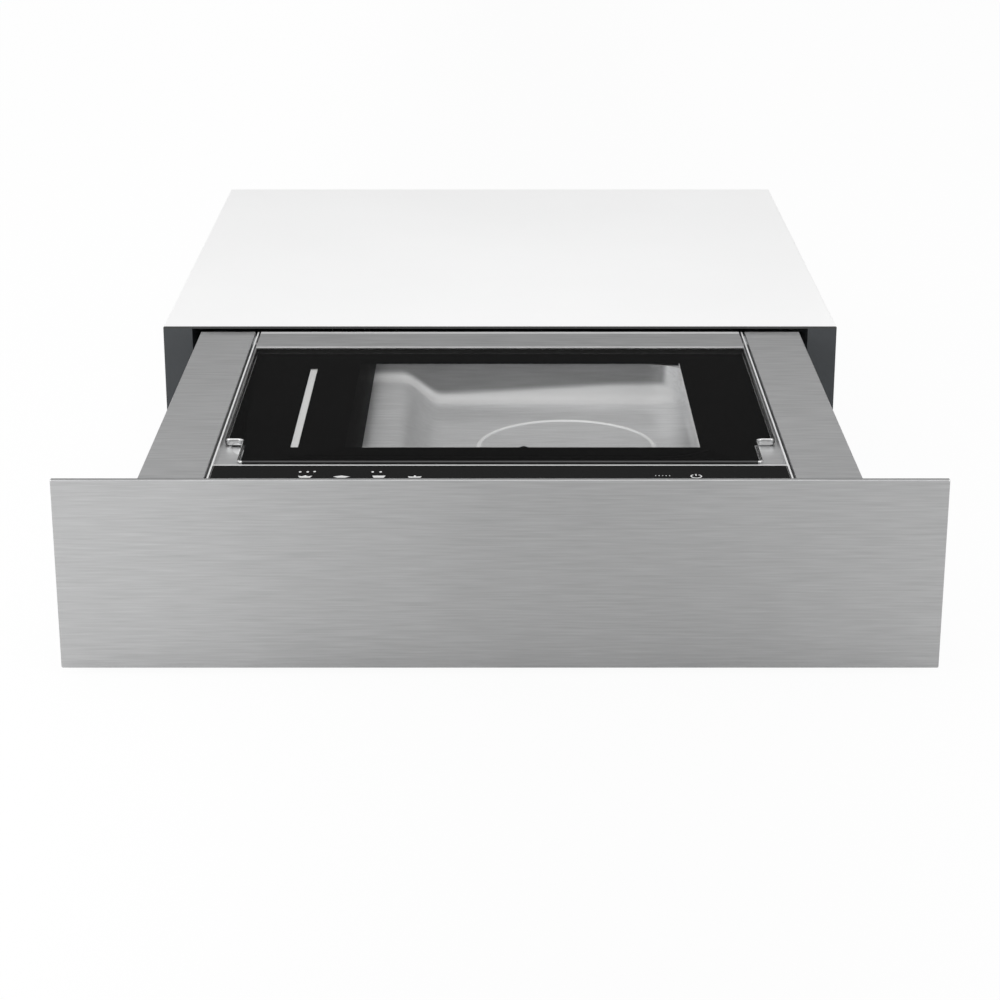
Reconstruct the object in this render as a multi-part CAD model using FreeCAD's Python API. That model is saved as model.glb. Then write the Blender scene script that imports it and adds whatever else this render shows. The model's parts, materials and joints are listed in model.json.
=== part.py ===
import FreeCAD, Part
import math
import os

# A built-in vacuum sealing drawer, drawn with the drawer pulled out and the lid shut.
# The origin is the middle of the niche floor in the front plane of the housing.
# X runs to the right, Y runs into the kitchen unit, Z runs up. All sizes are millimetres.

# Housing that is fixed in the kitchen niche
HOUSING_W = 558.0
HOUSING_D = 545.0
HOUSING_H = 128.5
HOUSING_SHEET = 1.0
COLUMN_W = 23.8
COLUMN_T = 1.5
CHANNEL_SHEET = 1.2
TOP_LIP_H = 1.6
TOP_LIP_D = 8.0
TOP_FOLD_R = 0.9
NICHE_SCREW_R = 2.5
NICHE_SCREW_Y = 14.0
NICHE_SCREW_SPAN = 60.0
NICHE_SCREW_Z = 64.0
ACCESS_HOLE_R = 6.0
CHANNEL_REAR = 10.0
REAR_VENT_COUNT = 14
REAR_VENT_SHIFT = 20.0
VENT_SLOT_W = 4.0
VENT_SLOT_L = 46.0

# Drawer, slides and travel
CLOSE_GAP = 3.0
SLIDE_GAP = 13.5
SLIDE_START = 12.0
SLIDE_REAR = 38.0
SLIDE_Z = 60.0
SLIDE_H = 44.0
SLIDE_SCREW_SHARES = (0.12, 0.45, 0.88)
OUTER_FLANGE_END = 10.5
MIDDLE_WEB = 3.0
MIDDLE_FLANGE_END = 12.0
INNER_FLANGE_START = 5.5
OUTER_CAGE = (1.7, 9.5)
OUTER_BALL = 6.0
INNER_CAGE = (4.5, 11.0)
INNER_BALL = 8.4
BALL_FIT = 0.1
SLIDE_SHEET = 1.2
SLIDE_PLAY = 0.3
BALL_R = 1.9
BALL_PITCH = 28.0
CAGE_SHEET = 0.8
CAGE_BALLS = 4
CAGE_END = 10.0
DRAWER_RAISE = 12.0
DRAWER_SHEET = 1.2
TRAY_FLANGE = 12.0
REAR_BAY_D = 105.0
BAY_VENT_COUNT = 10
BAY_VENT_X = -120.0
GRILLE_PITCH = 9.0
GRILLE_BAR = 2.0
GRILLE_BARS = 7

# Front panel
FRONT_REVEAL = 19.5
FRONT_ABOVE = 10.5
FRONT_RAISE = 4.0
FRONT_T = 20.0
FRONT_EDGE_T = 4.0
FRONT_SKIN = 1.0
FRONT_HEM = 26.0
PAN_INSET = 9.0
FRONT_SCREW_INSET = 18.0
FRONT_SCREW_LOW = 14.0
FRONT_SCREW_HIGH = 22.0
FRONT_BRACKET_T = 2.0
FRONT_BRACKET_FOOT = 30.0
FRONT_BRACKET_ARM = 60.0

# Top of the drawer
LEVEL_DROP = 4.5
COVER_SHEET = 1.2
COVER_SKIRT = 8.0
COVER_W = 45.6
COVER_OVERHANG = 6.3
MODULE_GAP = 1.8
CONTROL_D = 72.1
DECK_DROP = 4.0
DECK_SHEET = 1.2
RIM_T = 1.2
FRONT_FIT = 0.4
CONTROL_GLASS_T = 3.6
CONTROL_SEAT = 9.0
CONTROL_FIT = 0.4
BOARD_T = 1.6
BOARD_INSET = 3.0
CHIP_W = 12.0
CHIP_H = 2.0
CHIP_PITCH = 60.0
CHIP_COUNT = 5

# Lid and its hinge
LID_GLASS_T = 5.0
LID_SEAT_GAP = 0.4
LID_SIDE_GAP = 2.4
LID_FRONT_GAP = 3.3
NOTCH_W = 13.4
NOTCH_L = 51.0
NOTCH_R = 4.0
BAR_REAR = 5.0
BAR_D = 49.0
BAR_LIP = 0.9
BAR_GRIP = 15.0
BAR_FIT = 0.1
HINGE_Y = -20.0
HINGE_Z_DROP = 6.4
PIN_R = 3.0
PIN_GRIP = 13.0
PIN_END_PLAY = 0.5
BRACKET_GAP = 0.3
BUSH_WALL = 1.5
BUSH_L = 7.0
RUNNING_FIT = 0.05
BRACKET_D = 26.0
BRACKET_H = 24.0
TROUGH_FLOOR_DROP = 28.0
MASK_T = 0.2

# Vacuum chamber
CHAMBER_LEFT = 17.6
CHAMBER_RIGHT = 48.6
CHAMBER_FRONT = 32.5
CHAMBER_REAR = 78.0
CHAMBER_WALL = 1.5
CHAMBER_CORNER_R = 38.0
LEDGE_DROP = 18.0
FLOOR_DROP = 36.0
RAMP_START = 103.0
RAMP_RUN = 35.0
FLOOR_FILLET = 8.0
RING_LEFT = 29.1
RING_RIGHT = 35.1
RING_BEAD = 2.2
GASKET_W = 4.5
GASKET_INSET = 1.0
GASKET_GAP = 0.2
MOUTH_GAP = 3.5
MOUTH_CORNER_R = 22.0
FLANGE_W = 15.0
WINDOW_LEFT = 72.0
WINDOW_RIGHT = 9.0
WINDOW_REAR = 4.0
WINDOW_FRONT = 19.0
SLOT_W = 5.4
SLOT_END = 19.0

# Sealing bar
SEAL_X = 36.0
SEAL_W = 12.0
SEAL_END = 13.0
SEAL_LIFT = 5.0
SEAL_CLEAR = 0.3
COUNTER_H = 4.0
COUNTER_W = 12.0
TAPE_T = 0.3
STRIP_T = 0.2
STRIP_W = 5.0
STRIP_END = 6.0
TAPE_END = 3.0
ROD_R = 3.5
ROD_END = 49.0
LIFT_R = 11.0
LIFT_H = 34.0
LIFT_WALL = 2.5
PISTON_T = 3.0
SPRING_WIRE_R = 0.5
SPRING_TURNS = 5
SPRING_PLAY = 0.2
MANIFOLD_W = 14.0
MANIFOLD_H = 10.0
COIL_R = 12.0
COIL_H = 26.0

# Pump, electrics and fittings in the drawer
PUMP_W = 56.0
PUMP_D = 80.0
PUMP_H = 80.0
PUMP_FOOT_H = 8.0
PUMP_FOOT_R = 8.0
PUMP_FOOT_INSET = 12.0
PUMP_WALL = 8.0
PUMP_OFFSET = 2.5
PUMP_REAR = 9.8
PUMP_BORE_R = 27.0
ROTOR_R = 24.0
DRUM_FIT = 0.5
VANE_T = 3.0
VANE_COUNT = 4
SHAFT_R = 5.0
MOTOR_L = 100.0
MOTOR_R = 38.0
MOTOR_WALL = 5.0
MOTOR_FINS = 24
MOTOR_FIN_H = 3.0
MOTOR_FIN_T = 1.8
MOTOR_CAP_T = 6.0
MOTOR_AIR = 0.6
MOTOR_FAN_L = 12.0
FAN_BLADES = 9
HOSE_R = 6.0
HOSE_BORE_R = 4.0
HOSE_DROP = 14.0
NIPPLE_R = 3.9
PUMP_NIPPLE_L = 12.0
PORT_X = 11.0
PORT_REAR = 32.0
PORT_L = 20.0
PORT_BORE_R = 2.8
PORT_FLANGE_R = 9.0
PORT_FLANGE_T = 3.0
VENT_FRONT = 103.0
VENT_BODY_W = 22.0
VENT_BODY_H = 19.0
TRAFO_GAP = 59.0
TRAFO_W = 60.0
TRAFO_FOOT = 12.0
TRAFO_FOOT_T = 2.0
TRAFO_D = 56.0
TRAFO_H = 52.0
TRAFO_LEG = 10.0
POWER_BOARD_GAP = 18.0
POWER_BOARD_SIDE = 6.7
POWER_BOARD_FRONT = 8.0
POWER_BOARD_REAR = 8.8
STANDOFF_R = 3.0
BOARD_EDGE = 14.0
RELAY_COUNT = 3
RELAY_W = 16.0
RELAY_D = 20.0
RELAY_H = 16.0
RELAY_PITCH = 22.0
CAPACITOR_R = 8.0
CAPACITOR_H = 28.0
HEAT_SINK_L = 48.0
HEAT_SINK_D = 8.0
HEAT_SINK_H = 24.0
BOARD_RAISE = 10.0
FAN_SIDE = 46.7
FAN_W = 80.0
FAN_T = 25.0
FAN_Z = 58.0
FAN_HUB_R = 14.0
FAN_AXLE_R = 2.0
FAN_WHEEL_T = 16.0

# Push latch, inlet and supply lead
LATCH_L = 24.0
LATCH_CLEAR = 11.0
LATCH_W = 22.0
LATCH_H = 34.0
LATCH_Z = 60.0
PLUNGER_R = 4.5
PLUNGER_TRAVEL = 4.0
PLUNGER_GAP = 0.3
PLUNGER_SUNK = 12.0
INLET_W = 48.0
INLET_H = 28.0
INLET_D = 22.0
INLET_FLANGE = 4.3
INLET_FIT = 0.3
INLET_SIDE = 79.0
INLET_PIN_PITCH = 7.0
INLET_Z = 40.0
LEAD_R = 3.5
LEAD_END = 45.0
LEAD_FLOOR_GAP = 0.3
LEAD_GLAND_SIDE = 121.7
LEAD_GLAND_Z = 32.0

# Screws
SCREW_R = 2.0
SCREW_HEAD_R = 3.6
SCREW_HEAD_H = 1.8
SCREW_FIT = 0.15

# Levels and planes that follow from the sizes above
HOUSING_X = HOUSING_W / 2
CHANNEL_X = HOUSING_X - COLUMN_W
DRAWER_X = CHANNEL_X - SLIDE_GAP
COVER_X = DRAWER_X + COVER_OVERHANG
TRAVEL = HOUSING_D - HOUSING_SHEET - LATCH_L - LATCH_CLEAR - REAR_BAY_D
SLIDE_L = HOUSING_D - SLIDE_START - SLIDE_REAR
FRONT_W = HOUSING_W + 2 * FRONT_REVEAL
FRONT_H = HOUSING_H + FRONT_ABOVE - FRONT_RAISE
COVER_Z = HOUSING_H - LEVEL_DROP
FLANGE_Z = COVER_Z - COVER_SKIRT
TRAY_TOP = FLANGE_Z - DECK_SHEET
DECK_Z = COVER_Z - DECK_DROP
MODULE_X = COVER_X - COVER_W - MODULE_GAP
RIM_X = MODULE_X - RIM_T
FRONT_Y = -(TRAVEL + CLOSE_GAP + FRONT_T)
EDGE_BACK_Y = FRONT_Y + FRONT_EDGE_T
FRONT_BACK_Y = FRONT_Y + FRONT_T
TOP_FRONT_Y = EDGE_BACK_Y + FRONT_FIT
DECK_L = -TOP_FRONT_Y - CONTROL_D
FLOOR_TOP = DRAWER_RAISE + DRAWER_SHEET
GLASS_Z = DECK_Z + LID_SEAT_GAP
GLASS_TOP = GLASS_Z + LID_GLASS_T
BAR_TOP = GLASS_TOP + BAR_LIP
LID_X = RIM_X - LID_SIDE_GAP
LID_FRONT_Y = -(DECK_L - RIM_T - LID_FRONT_GAP)
BAR_FRONT_Y = -(BAR_REAR + BAR_D)
GLASS_REAR_Y = BAR_FRONT_Y + BAR_GRIP
HINGE_Z = COVER_Z - HINGE_Z_DROP
TROUGH_X = RIM_X - DECK_SHEET
TROUGH_FRONT_Y = BAR_FRONT_Y - 3.0
TROUGH_REAR_Y = -1.5
TROUGH_Z = COVER_Z - TROUGH_FLOOR_DROP
CHAMBER_X0 = -MODULE_X + CHAMBER_LEFT
CHAMBER_X1 = MODULE_X - CHAMBER_RIGHT
CHAMBER_Y1 = -CHAMBER_REAR
CHAMBER_Y0 = -DECK_L + CHAMBER_FRONT
LEDGE_Z = COVER_Z - LEDGE_DROP
CHAMBER_Z = COVER_Z - FLOOR_DROP
TUB_TOP = DECK_Z - DECK_SHEET
SEAL_XC = CHAMBER_X0 + SEAL_X
SEAL_Y1 = CHAMBER_Y1 - SEAL_END
SEAL_Y0 = CHAMBER_Y0 + SEAL_END
SEAL_TOP = GLASS_Z - COUNTER_H - SEAL_LIFT - SEAL_CLEAR
ROD_YS = (SEAL_Y0 + ROD_END, SEAL_Y1 - ROD_END)
LIFT_TOP = LEDGE_Z - CHAMBER_WALL
PUMP_X = CHAMBER_X0 + PORT_X
PUMP_Z = FLOOR_TOP + PUMP_FOOT_H
PUMP_FRONT = REAR_BAY_D - DRAWER_SHEET - PUMP_REAR - PUMP_D
PUMP_AXIS_Y = PUMP_FRONT + PUMP_D / 2
PUMP_AXIS_Z = PUMP_Z + PUMP_H / 2
MOTOR_X0 = PUMP_X + PUMP_W / 2
MOTOR_X1 = MOTOR_X0 + MOTOR_L
TRAFO_X = MOTOR_X1 + TRAFO_GAP + TRAFO_W / 2
PORT_XC = CHAMBER_X0 + PORT_X
PORT_Y = CHAMBER_Y1 - PORT_REAR
VENT_Y = CHAMBER_Y0 + VENT_FRONT
FAN_X = DRAWER_X - FAN_SIDE
INLET_X = -HOUSING_X + INLET_SIDE
LEAD_GLAND_X = -DRAWER_X + LEAD_GLAND_SIDE


def vec(x, y, z):
    return FreeCAD.Vector(x, y, z)


def block(x, y, z):
    """A box from pairs of limits."""
    return Part.makeBox(x[1] - x[0], y[1] - y[0], z[1] - z[0], vec(x[0], y[0], z[0]))


def rod(r, start, direction, length):
    return Part.makeCylinder(r, length, start, direction)


def tube(r, bore, start, direction, length):
    return rod(r, start, direction, length).cut(rod(bore, start, direction, length))


def fuse(shapes):
    whole = shapes[0]
    for shape in shapes[1:]:
        whole = whole.fuse(shape)
    return whole.removeSplitter()


def cut_all(body, tools):
    for tool in tools:
        body = body.cut(tool)
    return body


def mirrored(shape):
    return shape.mirror(vec(0, 0, 0), vec(1, 0, 0))


def both(shape):
    """The left piece and its mirror image on the right, as separate solids."""
    return Part.makeCompound([shape, mirrored(shape)])


def rounded_plate(x, y, z, r):
    """A plate with its four upright edges rounded."""
    plate = block(x, y, z)
    upright = [e for e in plate.Edges if abs(e.tangentAt(e.FirstParameter).z) > 0.9]
    return plate.makeFillet(r, upright)


def save(name, shape):
    if shape.isNull() or not shape.isValid():
        print("not valid:", name)
    shape.exportStep("parts/" + name + ".step")
    print(name, len(shape.Solids), round(shape.Volume))


def screw(head_face, direction, length):
    """A pan head screw with a cross recess, whose head stands on head_face."""
    back = vec(-direction.x, -direction.y, -direction.z)
    side = vec(direction.y, direction.z, direction.x)
    head = rod(SCREW_HEAD_R, head_face, back, SCREW_HEAD_H)
    shank = rod(SCREW_R, head_face, direction, length)
    body = head.fuse(shank)
    top = head_face + back * SCREW_HEAD_H
    for arm in (side, direction.cross(side)):
        across = direction.cross(arm)
        corner = top + arm * -2.0 + across * -0.4
        edges = [corner, corner + arm * 4.0, corner + arm * 4.0 + across * 0.8, corner + across * 0.8]
        face = Part.Face(Part.makePolygon(edges + [corner]))
        body = body.cut(face.extrude(direction * (SCREW_HEAD_H / 2)))
    return body


def screw_hole(head_face, direction, length):
    return rod(SCREW_R + SCREW_FIT, head_face - direction * length, direction, 2 * length)


def arc_between(start, corner, end):
    """The arc that leaves start towards corner and reaches end, both the same way off."""
    middle = (start + end) * 0.5
    reach = (corner - start).Length
    half_chord = (end - start).Length / 2
    cosine = half_chord / reach
    radius = half_chord / math.sqrt(max(1e-12, 1 - cosine * cosine))
    rise = radius - math.sqrt(max(0.0, radius * radius - half_chord * half_chord))
    toward = (corner - middle).normalize()
    return Part.Arc(start, middle + toward * rise, end).toShape()


def spring(radius, wire_r, base, height, turns):
    """A coil of round wire, each quarter turn a pair of arcs that meet in line."""
    quarters = turns * 4
    edges = []

    def at(step):
        a = step * math.pi / 2
        return base + vec(radius * math.cos(a), radius * math.sin(a), height * step / quarters)

    def heading(step):
        a = step * math.pi / 2
        climb = height / (quarters * math.pi / 2)
        return vec(-radius * math.sin(a), radius * math.cos(a), climb).normalize()

    for step in range(quarters):
        p, q = at(step), at(step + 1)
        s, t = heading(step), heading(step + 1)
        chord = q - p
        total = s + t
        b = chord.dot(total)
        c = 2 * (1 - s.dot(t))
        d = (-b + math.sqrt(b * b + c * chord.dot(chord))) / c
        first, second = p + s * d, q - t * d
        meet = (first + second) * 0.5
        edges += [arc_between(p, first, meet), arc_between(meet, second, q)]
    path = Part.Wire(edges)
    ring = Part.Wire([Part.makeCircle(wire_r, at(0), heading(0))])
    return path.makePipeShell([ring], True, False)


def bent_tube(points, r, bore):
    """A tube along straight runs joined by arcs, as large as the runs allow."""
    edges = []
    radii = []
    last = points[0]
    for i in range(1, len(points) - 1):
        before, here, after = points[i - 1], points[i], points[i + 1]
        into = (here - before).normalize()
        out = (after - here).normalize()
        setback = 0.45 * min((here - before).Length, (after - here).Length)
        start, end = here - into * setback, here + out * setback
        radii.append(round(setback / math.tan(into.getAngle(out) / 2)))
        if (start - last).Length > 1e-6:
            edges.append(Part.LineSegment(last, start).toShape())
        edges.append(arc_between(start, here, end))
        last = end
    edges.append(Part.LineSegment(last, points[-1]).toShape())
    print("bend radii:", radii)
    path = Part.Wire(edges)
    heading = (points[1] - points[0]).normalize()
    outside = path.makePipeShell([Part.Wire([Part.makeCircle(r, points[0], heading)])], True, False)
    if not bore:
        return outside
    inside = path.makePipeShell([Part.Wire([Part.makeCircle(bore, points[0], heading)])], True, False)
    return outside.cut(inside)


def vent_slots(count, x, y, z, along):
    """A row of round-ended slots for air, cut through a sheet that lies across Y or Z."""
    slots = []
    half_w, half_l = VENT_SLOT_W / 2, VENT_SLOT_L / 2
    for i in range(count):
        cx = x + (i - (count - 1) / 2) * 2 * VENT_SLOT_W
        wide = (cx - half_w, cx + half_w)
        if along == "y":
            box = block(wide, y, (z - half_l, z + half_l))
            ends = [rod(half_w, vec(cx, y[0], z + end), vec(0, 1, 0), y[1] - y[0]) for end in (-half_l, half_l)]
        else:
            box = block(wide, (y - half_l, y + half_l), z)
            ends = [rod(half_w, vec(cx, y + end, z[0]), vec(0, 0, 1), z[1] - z[0]) for end in (-half_l, half_l)]
        slots.append(fuse([box] + ends))
    return slots


# The housing: a folded shell, a top cover, a rear panel and two side channels

def niche_screw_axes():
    return [(NICHE_SCREW_Y, NICHE_SCREW_Z + side * NICHE_SCREW_SPAN / 2) for side in (-1, 1)]


def housing_shell():
    top = HOUSING_H - HOUSING_SHEET
    outer = block((-HOUSING_X, HOUSING_X), (COLUMN_T, HOUSING_D), (0, top))
    inner = block(
        (-HOUSING_X + HOUSING_SHEET, HOUSING_X - HOUSING_SHEET), (0, HOUSING_D + 1), (HOUSING_SHEET, top + 1)
    )
    lip = block((-CHANNEL_X, CHANNEL_X), (0, COLUMN_T), (0, HOUSING_SHEET))
    shell = fuse([outer.cut(inner), lip])
    right = vec(1, 0, 0)
    holes = [rod(NICHE_SCREW_R, vec(-HOUSING_X - 1, y, z), right, HOUSING_W + 2) for y, z in niche_screw_axes()]
    return cut_all(shell, holes)


def top_cover():
    sheet = block((-HOUSING_X, HOUSING_X), (0, HOUSING_D), (HOUSING_H - HOUSING_SHEET, HOUSING_H))
    lip = block((-HOUSING_X, HOUSING_X), (0, TOP_LIP_D), (HOUSING_H - TOP_LIP_H, HOUSING_H - HOUSING_SHEET))
    lip = lip.cut(block((-HOUSING_X - 1, -CHANNEL_X), (COLUMN_T, TOP_LIP_D + 1), (0, HOUSING_H)))
    lip = lip.cut(block((CHANNEL_X, HOUSING_X + 1), (COLUMN_T, TOP_LIP_D + 1), (0, HOUSING_H)))
    cover = fuse([sheet, lip])
    folds = [
        e
        for e in cover.Edges
        if abs(abs(e.CenterOfMass.x) - HOUSING_X) < 0.01 and abs(e.CenterOfMass.z - HOUSING_H) < 0.01
    ]
    return cover.makeFillet(TOP_FOLD_R, folds)


def rear_panel():
    z = (HOUSING_SHEET, HOUSING_H - HOUSING_SHEET)
    inside = HOUSING_X - HOUSING_SHEET
    panel = block((-inside, inside), (HOUSING_D - HOUSING_SHEET, HOUSING_D), z)
    y = (HOUSING_D - HOUSING_SHEET - 1, HOUSING_D + 1)
    cut = vent_slots(REAR_VENT_COUNT, FAN_X - REAR_VENT_SHIFT, y, FAN_Z, "y")
    cut.append(inlet_block(INLET_FIT, y))
    return cut_all(panel, cut)


def side_channel():
    """The left channel: the dark column in front and the wall that carries the slide."""
    top = HOUSING_H - TOP_LIP_H
    column = block((-HOUSING_X, -CHANNEL_X), (0, COLUMN_T), (0, top))
    rear = HOUSING_D - CHANNEL_REAR
    wall = block((-CHANNEL_X - CHANNEL_SHEET, -CHANNEL_X), (0, rear), (HOUSING_SHEET, top))
    back = block((-HOUSING_X + HOUSING_SHEET, -CHANNEL_X), (rear - CHANNEL_SHEET, rear), (HOUSING_SHEET, top))
    channel = fuse([column, wall, back])
    holes = [
        rod(ACCESS_HOLE_R, vec(-CHANNEL_X - 3, y, z), vec(1, 0, 0), 6) for y, z in niche_screw_axes()
    ]
    for y in slide_screw_ys(SLIDE_START):
        holes.append(screw_hole(vec(-CHANNEL_X, y, SLIDE_Z), vec(-1, 0, 0), 4))
    return cut_all(channel, holes)


def slide_screw_ys(start):
    return [start + SLIDE_L * share for share in SLIDE_SCREW_SHARES]


# The slides: cabinet, middle and drawer rails with caged balls between them

def rail_heights():
    """Half heights of the rails and ball rows, from the outside in."""
    half = SLIDE_H / 2
    outer_ball = half - SLIDE_SHEET - SLIDE_PLAY - BALL_R
    middle = outer_ball - BALL_R - SLIDE_PLAY
    inner_ball = middle - SLIDE_SHEET - SLIDE_PLAY - BALL_R
    inner = inner_ball - BALL_R - SLIDE_PLAY
    return {"outer": half, "outer_ball": outer_ball, "middle": middle, "inner_ball": inner_ball, "inner": inner}


def rail(u, half, y0, flange_from_wall):
    """A channel rail on the left: a web and two flanges, open to the drawer or to the housing."""
    x0 = -CHANNEL_X
    web_x = (x0 + u[0], x0 + u[0] + SLIDE_SHEET) if flange_from_wall else (x0 + u[1] - SLIDE_SHEET, x0 + u[1])
    y = (y0, y0 + SLIDE_L)
    web = block(web_x, y, (SLIDE_Z - half, SLIDE_Z + half))
    over = block((x0 + u[0], x0 + u[1]), y, (SLIDE_Z + half - SLIDE_SHEET, SLIDE_Z + half))
    under = block((x0 + u[0], x0 + u[1]), y, (SLIDE_Z - half, SLIDE_Z - half + SLIDE_SHEET))
    return fuse([web, over, under])


def slide_outer():
    shape = rail((0, OUTER_FLANGE_END), rail_heights()["outer"], SLIDE_START, True)
    holes = [screw_hole(vec(-CHANNEL_X, y, SLIDE_Z), vec(-1, 0, 0), 4) for y in slide_screw_ys(SLIDE_START)]
    return cut_all(shape, holes)


def slide_middle():
    y0 = SLIDE_START - TRAVEL / 2
    return rail((MIDDLE_WEB, MIDDLE_FLANGE_END), rail_heights()["middle"], y0, True)


def slide_inner():
    y0 = SLIDE_START - TRAVEL
    shape = rail((INNER_FLANGE_START, SLIDE_GAP), rail_heights()["inner"], y0, False)
    holes = [screw_hole(vec(-DRAWER_X, y, SLIDE_Z), vec(1, 0, 0), 4) for y in slide_screw_ys(y0)]
    return cut_all(shape, holes)


def ball_cage(row, reach_u, ball_u, y0):
    """A bent strip that keeps two rows of balls apart, and its balls as solids of their own."""
    x0 = -CHANNEL_X
    half = rail_heights()[row]
    length = 2 * CAGE_END + (CAGE_BALLS - 1) * BALL_PITCH
    y = (y0, y0 + length)
    reach = half + CAGE_SHEET / 2
    x = (x0 + reach_u[0], x0 + reach_u[1])
    strip = block((x[0], x[0] + CAGE_SHEET), y, (SLIDE_Z - reach, SLIDE_Z + reach))
    parts = [strip]
    balls = []
    pockets = []
    for side in (-1, 1):
        z = SLIDE_Z + side * half
        parts.append(block(x, y, (z - CAGE_SHEET / 2, z + CAGE_SHEET / 2)))
        for i in range(CAGE_BALLS):
            centre = vec(x0 + ball_u, y0 + CAGE_END + i * BALL_PITCH, z)
            balls.append(Part.makeSphere(BALL_R, centre))
            pockets.append(rod(BALL_R + BALL_FIT, centre - vec(0, 0, 1), vec(0, 0, 1), 2))
    return [cut_all(fuse(parts), pockets)] + balls


def cages(row):
    """Both rows of cages at rest, where each has run its share of the travel."""
    if row == "outer_ball":
        share, reach_u, ball_u = 0.25, OUTER_CAGE, OUTER_BALL
    else:
        share, reach_u, ball_u = 0.75, INNER_CAGE, INNER_BALL
    middle_front = SLIDE_START - TRAVEL * share
    y0 = middle_front + SLIDE_L / 2 - CAGE_END
    left = ball_cage(row, reach_u, ball_u, y0)
    return Part.makeCompound(left + [mirrored(s) for s in left])


def slide_screws():
    left = []
    for y in slide_screw_ys(SLIDE_START):
        seat = vec(-CHANNEL_X - CHANNEL_SHEET, y, SLIDE_Z)
        left.append(screw(seat, vec(1, 0, 0), CHANNEL_SHEET + SLIDE_SHEET))
    return Part.makeCompound(left + [mirrored(s) for s in left])


def tray_screws():
    left = []
    for y in slide_screw_ys(SLIDE_START - TRAVEL):
        left.append(screw(vec(-DRAWER_X - SLIDE_SHEET, y, SLIDE_Z), vec(1, 0, 0), 6.0))
    return Part.makeCompound(left + [mirrored(s) for s in left])


# The drawer: a tray, its rear panel and the front

def drawer_tray():
    y = (FRONT_BACK_Y, REAR_BAY_D - DRAWER_SHEET)
    outer = block((-DRAWER_X, DRAWER_X), y, (DRAWER_RAISE, TRAY_TOP))
    side = DRAWER_X - DRAWER_SHEET
    inner = block((-side, side), (y[0] + DRAWER_SHEET, y[1] + 1), (FLOOR_TOP, TRAY_TOP + 1))
    flange = block((-DRAWER_X, -DRAWER_X + TRAY_FLANGE), y, (TRAY_TOP - DRAWER_SHEET, TRAY_TOP))
    tray = fuse([outer.cut(inner), flange, mirrored(flange)])
    places = slide_screw_ys(SLIDE_START - TRAVEL)
    holes = [screw_hole(vec(-DRAWER_X, place, SLIDE_Z), vec(1, 0, 0), 4) for place in places]
    holes += [mirrored(h) for h in holes]
    holes += [screw_hole(vec(x, FRONT_BACK_Y, z), vec(0, 1, 0), 4) for x, z in front_screw_places()]
    return cut_all(tray, holes)


def drawer_rear_panel():
    y = (REAR_BAY_D - DRAWER_SHEET, REAR_BAY_D)
    panel = block((-DRAWER_X, DRAWER_X), y, (DRAWER_RAISE, TRAY_TOP))
    opening = rod(FAN_W / 2 - 3, vec(FAN_X, y[0] - 1, FAN_Z), vec(0, 1, 0), DRAWER_SHEET + 2)
    bars = []
    for i in range(GRILLE_BARS):
        z = FAN_Z + (i - (GRILLE_BARS - 1) / 2) * GRILLE_PITCH
        bars.append(block((FAN_X - FAN_W / 2, FAN_X + FAN_W / 2), y, (z - GRILLE_BAR / 2, z + GRILLE_BAR / 2)))
    gland = rod(LEAD_R + 0.3, vec(LEAD_GLAND_X, y[0] - 1, LEAD_GLAND_Z), vec(0, 1, 0), DRAWER_SHEET + 2)
    return fuse([panel.cut(opening)] + bars).cut(gland)


def rear_bay_cover():
    z = (TRAY_TOP, TRAY_TOP + DRAWER_SHEET)
    sheet = block((-DRAWER_X, DRAWER_X), (1.0, REAR_BAY_D), z)
    slots = vent_slots(BAY_VENT_COUNT, BAY_VENT_X, REAR_BAY_D / 2, (z[0] - 1, z[1] + 1), "z")
    return cut_all(sheet, slots)


def front_skin():
    """The brushed outer sheet, folded back at its edges into a thin closed hem."""
    x = (-FRONT_W / 2, FRONT_W / 2)
    z = (FRONT_RAISE, FRONT_RAISE + FRONT_H)
    outer = block(x, (FRONT_Y, EDGE_BACK_Y), z)
    t = FRONT_SKIN
    inside = block((x[0] + t, x[1] - t), (FRONT_Y + t, EDGE_BACK_Y - t), (z[0] + t, z[1] - t))
    window = block(
        (x[0] + FRONT_HEM, x[1] - FRONT_HEM),
        (FRONT_Y + t, EDGE_BACK_Y + 1),
        (z[0] + FRONT_HEM, z[1] - FRONT_HEM - COVER_SKIRT),
    )
    corners = [e for e in outer.Edges if abs(e.CenterOfMass.y - FRONT_Y) < 0.01]
    return outer.makeFillet(t * 0.8, corners).cut(inside).cut(window)


def front_pan():
    x = (-FRONT_W / 2 + PAN_INSET, FRONT_W / 2 - PAN_INSET)
    z = (FRONT_RAISE + PAN_INSET / 2, TRAY_TOP - 1.0)
    outer = block(x, (EDGE_BACK_Y, FRONT_BACK_Y), z)
    t = FRONT_SKIN
    inner = block((x[0] + t, x[1] - t), (EDGE_BACK_Y - 1, FRONT_BACK_Y - t), (z[0] + t, z[1] - t))
    holes = [screw_hole(vec(px, FRONT_BACK_Y, pz), vec(0, 1, 0), 4) for px, pz in front_screw_places()]
    return cut_all(outer.cut(inner), holes)


def front_screw_places():
    side = DRAWER_X - FRONT_SCREW_INSET
    levels = (FLOOR_TOP + FRONT_SCREW_LOW, TRAY_TOP - FRONT_SCREW_HIGH)
    return [(x, z) for x in (-side, 0.0, side) for z in levels]


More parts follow.
